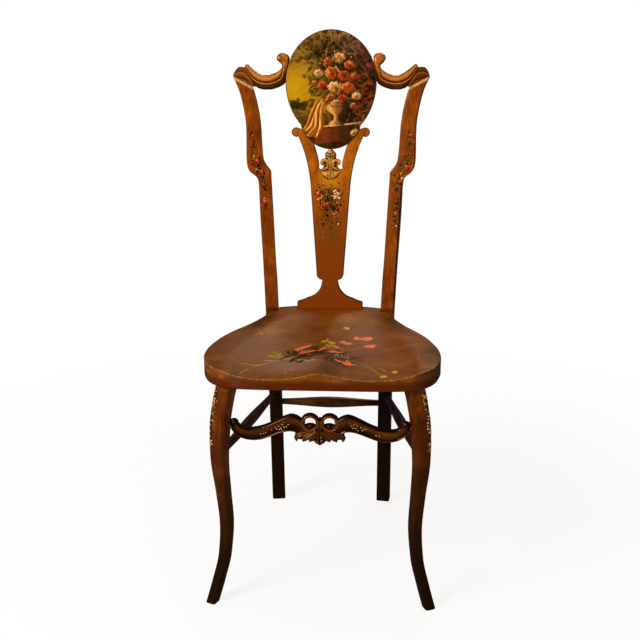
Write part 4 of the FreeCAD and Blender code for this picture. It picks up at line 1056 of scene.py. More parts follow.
    # The leaves behind the roses, the roses, and thin sprays of buds.
    for across, level, radius, tones in ROSES:
        foliage(12, (across, level), (radius, radius), (4, 8), (1.6, 3), ANY_WAY, ROSE_LEAVES, 0.9)
    for across, level, radius, tones in ROSES:
        rose(canvas, (across, level), radius, chance, tones)
        under = (across, level - radius * 0.7)
        foliage(3, under, (radius, 2), (3, 6), (1, 2), ANY_WAY, ROSE_LEAVES, 0.9)
    buds = ("#E8A468", "#C85A2C", "#6A6A20", "#3E4414")
    for stem in range(9):
        start = (chance.uniform(-20, 40), chance.uniform(20, 44))
        tip = (start[0] + chance.uniform(-22, 22), start[1] + chance.uniform(8, 22))
        middle = ((start[0] + tip[0]) / 2 + 3, (start[1] + tip[1]) / 2)
        sweep(canvas, (start, middle, tip), 0.8, ROSE_LEAVES[stem % 5])
        foliage(5, tip, (5, 4), (1.6, 3.2), (0.8, 1.4), ANY_WAY, buds, 0.85)
    # Light catches the tree tops and the right side.
    lit = ("#94682C", "#AA7C3C", "#7A5220", "#5C3E16")
    foliage(110, (2, 90), (30, 7), (4, 9), (1.2, 2.6), ANY_WAY, lit, 0.5)
    foliage(60, (54, 72), (13, 11), (4, 9), (0.8, 1.8), ANY_WAY, ("#7E4E30", "#986A48", "#5E3820"), 0.4)
    return picture


def panel_patch():
    """The panel's face as rings from its middle, its softened rim, its edge and its back. The picture ends at
    the rim, where the brown ground shows."""
    line = panel_line()
    out = offsets(line)
    share = np.linspace(0, 1, PICTURE_RINGS)[:, None, None]
    face = PANEL_MIDDLE + (line - out * PANEL_ARRIS - PANEL_MIDDLE)[None] * share
    inset, depth = arris_curve(PANEL_ARRIS)
    rim = line[None] - out[None] * inset[1:, None, None]
    back = PANEL_MIDDLE + (line - PANEL_MIDDLE)[None] * np.array([1.0, 0.98, 0.5, 0.0])[:, None, None]
    back_depth = [PANEL_THICKNESS - 1.5, *[PANEL_THICKNESS] * 3]
    flat = np.concatenate([face, rim, back])
    depth = np.concatenate([np.zeros(PICTURE_RINGS), depth[1:], back_depth])
    depth = np.broadcast_to(depth[:, None], flat.shape[:2])
    paint = np.broadcast_to(linear("#5A3210"), (*flat.shape[:2], 3)).copy()
    x, h = face[..., 0].ravel(), face[..., 1].ravel()
    paint[:PICTURE_RINGS] = garden(x, h).reshape(*face.shape[:2], 3)
    grime = np.zeros(flat.shape[:2])
    grime[PICTURE_RINGS - 1 : PICTURE_RINGS + 4] = 0.55
    points = in_back(np.stack([flat[..., 0], depth, flat[..., 1] + PANEL_LEVEL], -1))
    return patch(points, paint=paint, grime=grime)


build("oval_panel", [panel_patch()], picture_finish, ("oval_panel",))

# The splat

SPLAT_EDGE = (
    (0.0, -2.0), (66.5, -2.0), (66.7, 12.0), (66.0, 14.2, 63.4, 15.3), (54.3, 18.2, 44.4, 22.6),
    (24.6, 34.9, 16.5, 53.7), (15.7, 59.1), (25.0, 64.3, 27.3, 73.0), (39.0, 241.1),
    (41.0, 262.0, 44.6, 284.0), (49.0, 303.0, 64.5, 345.4), (77.5, 354.5, 67.5, 362.9), (52.0, 358.6),
    (35.5, 336.3), (28.5, 316.0, 22.5, 287.7), (20.5, 281.4, 17.5, 282.1), (13.0, 286.9),
    (18.5, 294.2, 12.2, 300.9), (8.5, 302.9), (11.2, 309.5, 7.0, 316.0), (2.2, 321.7), (0.0, 322.1),
)
# The carved ornament stands above the splat's face: the leaf and the collar's wings with their half widths,
# and the scroll with its radii, at points from root to tip.
LEAF_RUN = (
    (0.0, 320.8, 0.6), (0.0, 314.0, 7.2), (0.0, 308.5, 10.4), (0.0, 302.0, 6.4), (0.0, 294.0, 2.6),
    (0.0, 284.0, 2.2),
)
SCROLL_RUN = (
    (14.0, 291.0, 1.0), (16.8, 290.8, 1.9), (18.0, 294.0, 2.6), (15.8, 297.8, 3.2), (11.2, 299.2, 3.3),
    (6.8, 297.4, 2.9), (4.6, 293.0, 2.3), (5.2, 288.0, 1.9), (8.2, 283.6, 1.6), (13.2, 280.8, 1.3),
    (19.0, 279.4, 0.5),
)
WING_RUN = ((0.6, 271.6, 8.6), (6.0, 271.4, 6.6), (11.5, 272.8, 4.6), (16.0, 275.4, 2.6), (19.0, 277.8, 0.5))
SPLAT_ARRIS = 1.6
LEAF_HEIGHT = 3.4
WING_HEIGHT = 2.2
SCROLL_DEPTH = -0.2
SCROLL_FLATNESS = 0.85
# How many rows a carved leaf has along it, and how many points across its back.
LEAF_ROWS = 60
LEAF_UNDER = 8


def carved_leaf(run, height, place, front=0.0, veins=(), midrib=1.0, crest_rub_and_highlight=0.0):
    """A leaf on a face, along a run of points with half widths: across it a half ellipse, parted by the
    groove of the midrib, with veins that run outwards and forwards. Its rim goes a little way into the face.
    The last argument is the share of rubbing and painted highlight on its crests. Dark glaze and painted
    shade lie in its cuts, along its rim and under it."""
    share = np.linspace(0, 1, LEAF_ROWS)
    over = np.linspace(-1, 1, 29)
    drawn = smooth_run(run, LEAF_ROWS)
    line, half = drawn[:, :2], drawn[:, 2:]
    along = np.gradient(line, axis=0)
    along /= np.linalg.norm(along, axis=1, keepdims=True)
    plan = line[:, None] + (half * over)[..., None] * np.stack([along[:, 1], -along[:, 0]], 1)[:, None]
    cuts = np.zeros((len(share), len(over)))
    for vein in veins:
        forwards = share[:, None] - vein + 0.16 * np.abs(over)[None]
        cuts = np.maximum(cuts, np.exp(-((forwards / 0.034) ** 2)))
    ridge = np.exp(-((over / 0.12) ** 2))[None] * midrib
    cuts = np.maximum(cuts * (np.abs(over) < 0.85)[None], ridge)
    size = np.clip(half / max(row[2] for row in run), 0.3, 1)
    lift = height * size * np.sqrt(1 - over**2)[None] - 0.35 * height * cuts * size
    depth = front - lift + np.where(np.abs(over) > 0.97, 1.2, 0.0)[None]
    flat_under = np.full((LEAF_ROWS, LEAF_UNDER), front + 1.6)
    under = np.stack([plan[:, ::-4, 0], flat_under, plan[:, ::-4, 1]], -1)
    rings = np.concatenate([np.stack([plan[..., 0], depth, plan[..., 1]], -1), under], 1)
    grime = np.maximum(cuts * 0.95, np.where(np.abs(over) > 0.9, 0.9, 0.0)[None])
    grime = np.concatenate([grime, np.ones(flat_under.shape)], 1)
    wear = crest_rub_and_highlight * np.exp(-(((np.abs(over) - 0.42) / 0.22) ** 2))[None] * (1 - cuts)
    return tube(place(rings), grime=grime, wear=np.concatenate([wear, np.zeros(flat_under.shape)], 1))


splat_line = both_sides(arc_run(SPLAT_EDGE, 1.4))
splat_board = board(splat_line, SPLAT_THICKNESS, SPLAT_ARRIS, in_splat, edge_grime=0.9)
splat_plates = ((0, 0), (0, len(splat_board["points"]) - 1))
build("splat", [splat_board], splat_finish, ("splat",), splat_plates, sharp=35)
ornament = [carved_leaf(LEAF_RUN, LEAF_HEIGHT, in_splat, veins=(0.3, 0.46))]
for flip in (1, -1):
    place = lambda points, flip=flip: in_splat(points) * (flip, 1, 1)
    x, z, radii = smooth_run(SCROLL_RUN, 90).T
    scroll = np.stack([x, np.full(len(x), SCROLL_DEPTH), z], 1)
    ornament.append(carved_roll(scroll, radii, place, SCROLL_FLATNESS))
    ornament.append(carved_leaf(WING_RUN, WING_HEIGHT, place, midrib=0.0, veins=(0.3,)))
build("splat_ornament", ornament, gilt_finish, sharp=60)

# The front rail

RAIL_FRONT = 23.7
RAIL_STRETCH = 1.0124
RAIL_THICKNESS = 13.0
# Pairs of points on the lower and upper edges of the right arm, from the fan to its end.
RAIL_PAIRS = (
    (27.0, 320.0, 25.0, 350.0), (33.0, 323.5, 31.0, 353.6), (40.0, 328.2, 36.0, 357.4),
    (46.0, 330.4, 41.0, 359.8), (52.0, 330.6, 47.5, 361.4), (60.0, 329.4, 55.0, 359.8),
    (67.0, 327.2, 62.5, 356.6), (75.0, 324.2, 72.0, 351.8), (84.0, 320.6, 82.0, 346.4),
    (93.0, 317.1, 92.0, 341.8), (103.0, 314.4, 101.0, 338.6), (113.0, 313.2, 111.0, 336.2),
    (123.0, 314.0, 120.0, 335.2), (132.0, 316.4, 128.0, 336.2), (141.0, 321.2, 134.0, 338.4),
    (148.0, 327.6, 138.6, 342.4), (153.0, 335.6, 141.5, 345.4),
)
# The arm's and the ring's profiles in the same columns: shares of the width, depth behind the front, dark
# glaze with painted shade, and rubbing with painted highlights.
RAIL_PROFILE = (
    (0.00, 4.6, 0.9, 0.0), (0.04, 1.4, 0.4, 0.1), (0.075, 0.8, 0.1, 0.25), (0.11, 1.2, 0.4, 0.1),
    (0.145, 2.8, 1.0, 0.0), (0.20, 2.4, 0.7, 0.0), (0.32, 1.6, 0.1, 0.0), (0.55, 1.4, 0.0, 0.1),
    (0.76, 1.2, 0.1, 0.2), (0.85, 0.9, 0.5, 0.2), (0.90, 1.0, 0.95, 0.0), (0.95, 2.2, 1.0, 0.0),
    (1.00, 4.6, 1.0, 0.0),
)
RING_PROFILE = (
    (0.00, 4.6, 1.0, 0.0), (0.08, 2.2, 0.3, 0.0), (0.20, 1.0, 0.0, 0.9), (0.34, 2.0, 0.7, 0.1),
    (0.46, 0.9, 0.1, 0.3), (0.58, 0.2, 0.0, 0.8), (0.72, 0.8, 0.4, 0.2), (0.82, 2.0, 0.95, 0.0),
    (1.00, 4.2, 1.0, 0.0),
)
RAIL_FIELD_DEPTH = 1.45
RING_MIDDLE = (16.8, 347.0)
RING_RADII = (9.8, 16.4)
RING_THICKNESS = 12.4
# The ball at the end, the eye in the ring and the low boss behind the eye: middle, radii, height and the
# depth of the rim.
RAIL_BALL = ((146.8, 344.6), (7.8, 8.2), 5.0, 5.0)
RAIL_EYE = ((15.8, 341.2), (4.8, 4.8), 5.6, 5.6)
EYE_BOSS = ((16.2, 338.6), (11.0, 6.6), 1.4, 7.6)


def in_rail(points):
    """Points (x, depth, height) of the front rail in the chair."""
    x, depth, z = np.moveaxis(np.asarray(points, float), -1, 0)
    return np.stack([x * RAIL_STRETCH, FRONT + RAIL_FRONT + depth, z], -1)


def rail_patches(flip):
    """One side of the rail: the moulded arm with its end volute, a pierced ring with the eye in it, and
    three leaves of the fan."""
    place = lambda points: in_rail(points) * (flip, 1, 1)
    turn = np.radians(np.linspace(-125, 235, 73))[:, None]
    circle = np.hstack([np.cos(turn), np.sin(turn)])
    ring = np.hstack([np.array(RING_MIDDLE) + circle * radius for radius in RING_RADII])
    patches = [
        moulding(RAIL_PAIRS, RAIL_PROFILE, RAIL_THICKNESS, place, rows=160),
        dome(place, *RAIL_BALL, groove=(0.62, 1.2)),
        moulding(ring, RING_PROFILE, RING_THICKNESS, place, rows=110),
        dome(place, *RAIL_EYE, power=0.6),
        dome(place, *EYE_BOSS),
    ]
    for run, height, front in FAN_LEAVES:
        patches.append(carved_leaf(run, height, place, front, midrib=0.7, crest_rub_and_highlight=0.32))
    back = board(np.array(FAN_GROUND), GROUND_THICKNESS, GROUND_ARRIS, place, GROUND_FRONT, ground=0.85)
    return patches, back


# The fan's leaves on the right: runs with half widths, heights and depths of their ground.
FAN_LEAVES = (
    (((6.0, 333.0, 2.6), (10.0, 325.0, 5.0), (14.5, 318.0, 5.2), (18.0, 312.6, 0.8)), 3.6, 2.8),
    (((10.0, 331.0, 2.8), (18.0, 325.0, 5.0), (25.5, 318.4, 5.4), (29.5, 312.4, 0.8)), 3.8, 3.2),
    (
        ((13.0, 332.5, 2.6), (24.0, 328.5, 4.8), (34.5, 324.5, 5.6), (40.0, 319.0, 4.2), (39.5, 312.6, 0.6)),
        3.8, 3.4,
    ),
)
FAN_MIDDLE_LEAF = (
    (0.0, 352.0, 2.6), (0.0, 338.0, 4.0), (0.0, 325.0, 7.4), (0.0, 313.0, 9.4), (0.0, 306.6, 1.2),
)
# The board behind the fan: its right half, its thickness, its arris and how far back it stands.
FAN_GROUND = (
    (0.0, 309.0), (10.0, 312.5), (20.0, 314.5), (30.0, 315.5), (37.0, 315.5), (42.0, 321.0), (42.5, 330.0),
    (34.0, 343.0), (28.0, 343.0), (22.0, 338.0), (8.0, 338.0), (4.0, 352.0), (0.0, 355.0),
)
GROUND_THICKNESS = 8.0
GROUND_ARRIS = 0.8
GROUND_FRONT = 5.0
rail_parts = [carved_leaf(FAN_MIDDLE_LEAF, 4.6, in_rail, 2.6, veins=(0.5, 0.66, 0.8), crest_rub_and_highlight=0.3)]
rail_plates = []
for flip in (1, -1):
    parts_here, back = rail_patches(flip)
    rail_parts += parts_here + [back]
    number = len(rail_parts) - 1
    rail_plates += [(number, 0), (number, len(back["points"]) - 1)]
build("front_rail", rail_parts, rail_finish, ("front_rail",), plates=rail_plates, sharp=60)

# The spindles


def spindle(start, finish, radii):
    """A turned bar: circles along the line between two points, thickest in the middle, with a light collar
    at each end."""
    start, finish = np.array(start, float), np.array(finish, float)
    t = np.concatenate([np.linspace(0, 0.04, 8), np.linspace(0.05, 0.95, 60), np.linspace(0.96, 1, 8)])
    swell = flow(t, (0.0, 0.035, 0.12, 0.5, 0.88, 0.965, 1.0), (0, 0, 0.1, 1, 0.1, 0, 0))
    radius = radii[0] + (radii[1] - radii[0]) * swell
    along = (finish - start) / np.linalg.norm(finish - start)
    across = np.cross(along, (0, 0, 1.0))
    across /= np.linalg.norm(across)
    up = np.cross(across, along)
    turn = full_turn(28)
    circle = np.cos(turn)[:, None] * across + np.sin(turn)[:, None] * up
    return tube(start + (finish - start) * t[:, None, None] + circle[None] * radius[:, None, None])


SPINDLE_AT_POST = (115.6, FRONT + 403.6)
SIDE_SPINDLE = ((175.7, FRONT + 28.4, 284.0), (*SPINDLE_AT_POST, 256.0))
REAR_SPINDLE = ((-SPINDLE_AT_POST[0], SPINDLE_AT_POST[1], 235.5), (*SPINDLE_AT_POST, 235.5))
SIDE_SPINDLE_RADII = (6.5, 10.0)
REAR_SPINDLE_RADII = (6.25, 11.5)
for name, flip in (("side_spindle_right", 1), ("side_spindle_left", -1)):
    bar = spindle(*np.array(SIDE_SPINDLE) * (flip, 1, 1), SIDE_SPINDLE_RADII)
    build(name, [bar], dark_finish, (name,))
bar = spindle(*REAR_SPINDLE, REAR_SPINDLE_RADII)
build("rear_spindle", [bar], dark_finish, ("rear_spindle",))

# Pegs, plugs and screws keep their own shapes.

SMALL_FINISHES = {"screws": steel_finish, "plugs": back_finish, "dowels": birch_finish}
for name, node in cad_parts.items():
    finish = SMALL_FINISHES.get(name.split("_")[-1])
    for holder in node.material_slots if finish else ():
        holder.material = finish

# Painted flowers

# Oil colours of the strokes, and their order: the first are laid on first.
# The scratch tone serves both real scratches and a painted highlight on the seat; steel is the grey of the
# painted gleam behind the eyes.
COLOURS = {
    "shadow": "#3E1E12", "umber": "#361A0A", "ink": "#140903", "steel": "#5A646A", "scratch": "#8E5C38",
    "olive": "#5A4A14", "tan": "#A8864E", "ochre_dull": "#96721C", "grey": "#8A7A74", "red_dark": "#7A1A10",
    "orange_dark": "#A8501A", "ochre": "#C8920F", "orange": "#D8701E", "red": "#B82A18", "coral": "#F0663C",
    "peach": "#E0A070", "cream": "#E8D0A4", "stamen": "#C8B08A", "gold": "#DAB060",
}
# How fast a stroke's width falls off towards its ends.
STROKE_POWERS = {"petal": 0.55, "leaf": 1.0, "line": 0.3, "dot": 0.5}


def touches(*groups):
    """A table of strokes, one row each, from groups of an end, a colour and the strokes: two points and a
    width."""
    return tuple((*stroke, end, tone) for end, tone, *strokes in groups for stroke in strokes)


SEAT_SPRAY = touches(
    (
        "leaf", "shadow", (-71, 120, -50, 158, 10.6), (-58, 105, -26, 161, 15.4), (-50, 158, -2, 160, 20.8),
        (-33, 165, 0, 124, 14.3), (-31, 108, -7, 134, 9.42), (-3, 116, 22, 154, 14.7),
        (1, 99, 31, 90, 17.4), (25, 163, 48, 118, 10.5), (44, 136, 71, 120, 12.5),
    ),
    ("line", "shadow", (70, 203, 46, 178, 3.6)),
    ("leaf", "umber", (-52, 158, -20, 161, 9.3), (20, 124, 49, 126, 16.7)),
    ("leaf", "olive", (-16, 185, 12, 177, 16.3)),
    (
        "line", "olive", (37, 269, 31, 221, 1.4), (31, 221, 28, 206, 1.5), (52, 212, 42, 200, 2.8),
        (-74, 135, -61, 139, 4.5),
    ),
    (
        "line", "tan", (-47, 121, -70, 113, 3.5), (-69, 113, -92, 95, 3), (-92, 95, -117, 67, 2.7),
        (-117, 67, -136, 23, 1.5), (-108, 80, -132, 74, 2.6),
    ),
    (
        "leaf", "tan", (-82, 111, -105, 105, 3.5), (-46, 111, -31, 103, 5.3), (-36, 104, -21, 91, 4.5),
        (-28, 97, -8, 91, 6.6), (-43, 99, -29, 111, 3.6),
    ),
    ("line", "tan", (-63, 43, -58, 60, 1.6)),
    ("leaf", "tan", (-56, 55, -44, 56, 3.3)),
    (
        "line", "tan", (-60, 28, -56, 47, 1.1), (67, 98, 86, 78, 2.2), (86, 78, 98, 54, 1.6),
        (98, 54, 106, 36, 1.1), (99, 76, 112, 54, 1.4), (-142, 71, -128, 76, 2.6),
    ),
    ("dot", "tan", (-124, 235, -119, 229, 5.2)),
    (
        "leaf", "ochre_dull", (-103, 122, -77, 138, 7.5), (-104, 135, -77, 136, 7.3),
        (-99, 150, -76, 136, 6.8), (-92, 158, -75, 138, 5.3), (-86, 160, -74, 138, 3.7),
        (-93, 119, -73, 138, 6), (-85, 114, -69, 135, 4.6),
    ),
    ("leaf", "ochre", (-7, 188, 5, 193, 13), (1, 189, 5, 212, 3.3)),
    ("petal", "ochre", (6, 189, 16, 193, 15.5), (11, 182, 28, 168, 9.7), (5, 177, 12, 164, 5.3)),
    ("leaf", "ochre", (14, 199, 21, 186, 4.6)),
    (
        "petal", "ochre", (30, 277, 44, 284, 9.7), (33, 287, 42, 273, 7.1), (101, 29, 115, 32, 10.4),
        (107, 39, 112, 28, 4), (122, 47, 133, 49, 9.7), (126, 55, 129, 40, 2.7),
    ),
    (
        "petal", "coral", (-55, 160, -22, 180, 12.2), (-46, 140, -12, 147, 11.2), (-11, 139, 5, 162, 7.13),
        (-53, 171, -44, 158, 4.46), (6, 135, 35, 147, 8.06), (12, 148, 30, 143, 5.69),
        (21, 107, 40, 93, 9.29), (38, 100, 53, 80, 10.4), (42, 109, 54, 84, 7.7), (50, 90, 60, 87, 8.35),
        (28, 200, 40, 206, 14), (35, 194, 51, 201, 13.2), (52, 228, 64, 229, 17.3),
        (62, 221, 75, 235, 10.5), (68, 227, 89, 226, 18.6), (72, 186, 95, 191, 13.5),
        (82, 181, 92, 185, 7.7),
    ),
    (
        "dot", "stamen", (-49, 164, -46, 154, 1.4), (-44, 160, -42, 151, 1.4), (-40, 164, -38, 151, 1.6),
        (-35, 161, -33, 151, 1.4), (-31, 164, -29, 153, 1.2), (-26, 159, -24, 152, 1.3),
        (21, 130, 23, 119, 1.3), (25, 136, 27, 123, 1.6), (29, 132, 31, 116, 1.2), (33, 138, 35, 120, 1.5),
        (38, 132, 39, 116, 1.2), (43, 129, 45, 117, 1.3), (46, 136, 47, 124, 1.2),
    ),
)
SPLAT_SPRAY = touches(
    (
        "leaf", "ink", (-26.2, 252, -22.2, 249.4, 2.1), (-20.2, 248.1, -15, 251.5, 2.6),
        (-23.6, 244, -19.3, 245, 2.4), (-13.2, 241, -8.1, 237.2, 3.1), (-4.6, 238.4, -1.2, 244.4, 2.7),
        (14.2, 255.6, 18, 251.3, 2.4),
    ),
    ("dot", "ink", (27, 266.7, 29.1, 266, 1.4), (22.8, 252.7, 24.2, 249.7, 1.5)),
    ("dot", "umber", (28, 251.4, 29.7, 247.7, 1.4)),
    (
        "line", "umber", (17.7, 249.6, 19.5, 239.4, 0.9), (28, 246.3, 24.5, 251.4, 0.9),
        (29.6, 258.2, 28, 249.7, 0.7),
    ),
    ("leaf", "ink", (-9.7, 222.2, 2.3, 224, 9.5)),
    ("leaf", "umber", (-14.9, 220.4, -1.1, 218.8, 8.6)),
    ("leaf", "ink", (19.5, 232.6, 24.4, 224.1, 4.5), (-21.8, 215.3, -18.3, 212.7, 2.8)),
    ("petal", "red", (-24.4, 237.5, -18.4, 230.3, 4.5)),
    ("petal", "cream", (-27.3, 221.7, -21.8, 221.1, 1.7), (-9.8, 232.4, -6.7, 230.4, 1.4)),
    ("petal", "peach", (7.8, 240.2, 12.6, 234.3, 3.8)),
    ("petal", "cream", (11.9, 236.8, 18.1, 232.6, 3.8)),
    ("petal", "peach", (13.3, 232.6, 20.4, 230, 3.8)),
    ("petal", "cream", (3.2, 228.8, 12.6, 227.8, 2.9)),
    ("petal", "peach", (7.5, 224.7, 14.4, 225.4, 2.4)),
    ("petal", "cream", (14.7, 227.1, 19.6, 222.4, 3.1)),
    ("petal", "peach", (8.5, 232.5, 12.6, 230.5, 2.1)),
    ("petal", "red_dark", (15.8, 221.3, 24.4, 221.7, 2.4), (25.1, 220.3, 28.2, 214.7, 2.7)),
    (
        "petal", "red", (-17.5, 214.4, -12.3, 216.2, 4.5), (-13.1, 212.7, -7.9, 207.6, 5.8),
        (-7.1, 215.7, -1.9, 210.2, 4.1),
    ),
    ("petal", "red_dark", (-16.6, 207.1, -11, 205.4, 2.4), (-9.7, 218.8, -4.5, 217.1, 2.1)),
    ("petal", "olive", (26.7, 239.1, 31.1, 237.8, 2.7)),
    ("leaf", "olive", (-1.2, 251.2, 3.1, 249.6, 2.1), (1.4, 247.5, 5.7, 246.2, 2.1)),
    ("dot", "olive", (29.8, 234.4, 32.6, 232.7, 1.4)),
    ("leaf", "ink", (-4.5, 206.8, 5.9, 205.1, 5.9)),
    ("leaf", "umber", (-13.1, 200.7, -1, 198.2, 5.2)),
    ("leaf", "ink", (-9.6, 191.3, -2.7, 187.9, 4.1), (2.4, 203.4, 9.4, 200, 4.5)),
    ("leaf", "umber", (12.8, 200.9, 19.7, 203.5, 2.8)),
    ("dot", "olive", (-18.3, 200.7, -14, 199.9, 1.7)),
    ("petal", "cream", (5.1, 193.1, 10.3, 193.8, 1.6), (11.1, 196.9, 13.9, 195.6, 1.6)),
    ("leaf", "ink", (-10.3, 181.3, -6.1, 179.3, 2.4)),
    (
        "leaf", "umber", (-18.2, 174, -9.5, 172.3, 3.8), (-16.4, 167.1, -12.1, 169.7, 2.8),
        (12.9, 188, 15, 181.1, 1.7), (11.2, 181.1, 13.6, 175.9, 1.6),
    ),
    ("petal", "peach", (14.4, 171.8, 19.2, 171.5, 1.4)),
    ("dot", "umber", (16.2, 157.7, 18.9, 157.3, 1)),
    ("petal", "orange_dark", (-3.6, 191.3, 2.5, 189.7, 2.4)),
    ("leaf", "umber", (19.8, 177.7, 23.3, 172.6, 1.7)),
    ("dot", "olive", (-18.5, 259.7, -16.4, 258.7, 0.9)),
    ("leaf", "umber", (19.6, 212.1, 23.1, 209.5, 2.1)),
    ("leaf", "ochre_dull", (-18.1, 155.8, -12.1, 155.5, 1.2), (-17.2, 144.2, -12, 143.9, 1.2)),
    ("petal", "grey", (-11.2, 237.9, -6.3, 234.2, 2.4)),
    (
        "petal", "ochre", (-23.9, 225.2, -17.5, 222.5, 2.8), (-18.7, 226.2, -14.9, 223.9, 2.4),
        (5.1, 212.8, 11.4, 211.7, 2.2), (11, 214.6, 16.5, 214.6, 2.1),
    ),
    ("petal", "orange", (-20.4, 231, -13.9, 225.9, 4.1)),
)
LEFT_SPRAY = touches(
    ("petal", "red", (148.6, 346.8, 146.9, 341.7, 4.5)),
    ("line", "umber", (146.9, 337.8, 144, 330.4, 2), (144, 330.4, 145.2, 320.8, 2)),
    ("dot", "umber", (152.2, 323.6, 149.3, 319.7, 2)),
    ("dot", "olive", (147.6, 302.7, 144.7, 299.9, 2.6)),
    ("petal", "red", (142.9, 297.1, 135.9, 289.7, 8.6)),
    ("leaf", "ink", (139.4, 286.8, 133, 287.4, 5.9)),
    ("leaf", "umber", (144.7, 288, 140.6, 285.1, 3.5)),
    ("leaf", "ink", (134.7, 281.2, 131.2, 277.8, 4.6)),
    ("petal", "red", (137.7, 274.3, 127.7, 271.5, 7.6)),
    ("petal", "red_dark", (134.2, 269.2, 130.7, 267.5, 3.5)),
    ("leaf", "umber", (129.5, 275.5, 124.2, 272.1, 3.5)),
    ("leaf", "ink", (130.7, 265.3, 126, 263, 4.4)),
    ("leaf", "umber", (126, 256.2, 124.8, 251.6, 2.3)),
    ("dot", "umber", (127.2, 245.6, 124.3, 242.5, 2)),
    ("petal", "peach", (127.8, 223, 124.9, 220.7, 2.3)),
    ("petal", "red", (130.2, 217.3, 123.1, 213.3, 5.8)),
    ("leaf", "umber", (126.7, 209.8, 122.6, 205.3, 3.5)),
    ("dot", "umber", (129, 204.7, 126.7, 202.4, 2), (149.4, 354.1, 146.8, 351.3, 1.7)),
    ("petal", "ochre", (146.4, 306.7, 142.9, 302.7, 3.4), (141.8, 280.6, 136.5, 278.9, 2.6)),
)
RIGHT_SPRAY = touches(
    ("petal", "red", (148.9, 349.2, 154.7, 345.3, 5.7)),
    ("leaf", "ink", (150.4, 330.7, 153.3, 326.8, 3.1)),
    ("leaf", "umber", (150, 318.4, 151.8, 314.4, 2.3)),
    ("dot", "ink", (153.6, 309.4, 156.5, 306, 2.3)),
    ("leaf", "ink", (142.9, 293.6, 146.4, 290.8, 4)),
    ("leaf", "umber", (151, 294.8, 153.9, 291.4, 2.6)),
    ("petal", "red", (143, 286.3, 151.2, 281.2, 8.1)),
    ("leaf", "umber", (146, 279, 150.1, 277.3, 2.9)),
    ("petal", "red", (130.6, 271.6, 138.1, 268.2, 6.4)),
    ("petal", "peach", (134.2, 263.7, 138.8, 260.9, 3.5)),
    ("leaf", "ink", (129.7, 254, 135.6, 249, 5.8)),
    ("leaf", "umber", (131.6, 246.7, 134.5, 243.3, 2.6)),
    ("dot", "umber", (128.8, 237.6, 132.3, 235.3, 2.6), (129, 226.8, 131.3, 222.8, 2.6)),
    ("leaf", "ink", (126.3, 213.7, 129.8, 209.7, 2.6)),
    ("dot", "umber", (124.7, 205.1, 127.6, 202.3, 2.3)),
    ("petal", "red", (123.6, 194.9, 130.1, 190.9, 5.8)),
    ("leaf", "ink", (122.6, 184, 126.2, 181.2, 2.6)),
    ("petal", "cream", (125.2, 171.4, 128.7, 168.6, 2.3)),
    ("dot", "umber", (123.4, 169.1, 125.2, 166.8, 1.7), (156.6, 304.9, 158.9, 302.1, 1.7)),
    ("petal", "ochre", (139.5, 289.1, 143.6, 285.7, 2.9)),
)
# Dark glaze and painted shade lie in the gaps between leaf, scrolls and collar.
GAP_GLAZE_AND_SHADE = touches(
    ("leaf", "ink", (3.5, 306.5, 12.5, 300.5, 4.4)),
    ("line", "ink", (2.2, 300.0, 3.0, 284.0, 3.0)),
    ("leaf", "ink", (9.0, 294.5, 13.5, 292.0, 5.0), (7.0, 290.0, 12.0, 286.0, 4.0)),
    (
        "line", "ink", (3.0, 282.5, 10.0, 278.0, 2.6), (9.0, 278.6, 19.6, 277.6, 2.0),
        (19.8, 277.0, 14.0, 268.4, 2.2), (14.6, 268.8, 6.2, 263.0, 2.2),
    ),
    (
        "leaf", "ink", (7.2, 263.6, 3.6, 260.6, 2.6), (1.6, 267.0, 0.2, 260.8, 2.6),
        (6.0, 268.0, 4.4, 262.8, 1.5),
    ),
)
# Painted shade runs down the outer edge of the right post.
POST_SHADE = touches(
    ("line", "ink", (128.0, 6.0, 134.4, 250.0, 2.6)),
)
# The dark gleam on the ground behind each eye.
EYE_GLEAM = touches(
    ("line", "steel", (8.5, 339.4, 25.0, 339.4, 3.0), (10.0, 336.4, 22.0, 336.4, 2.4)),
)
# A fine pale line, a painted highlight on the brim of the right hollow, follows the seat's right side.
SEAT_CURVE = touches(
    ("line", "scratch", (132, 226, 158, 186, 1.3), (157, 188, 172, 130, 1.6), (172, 132, 174, 84, 1.4)),
)


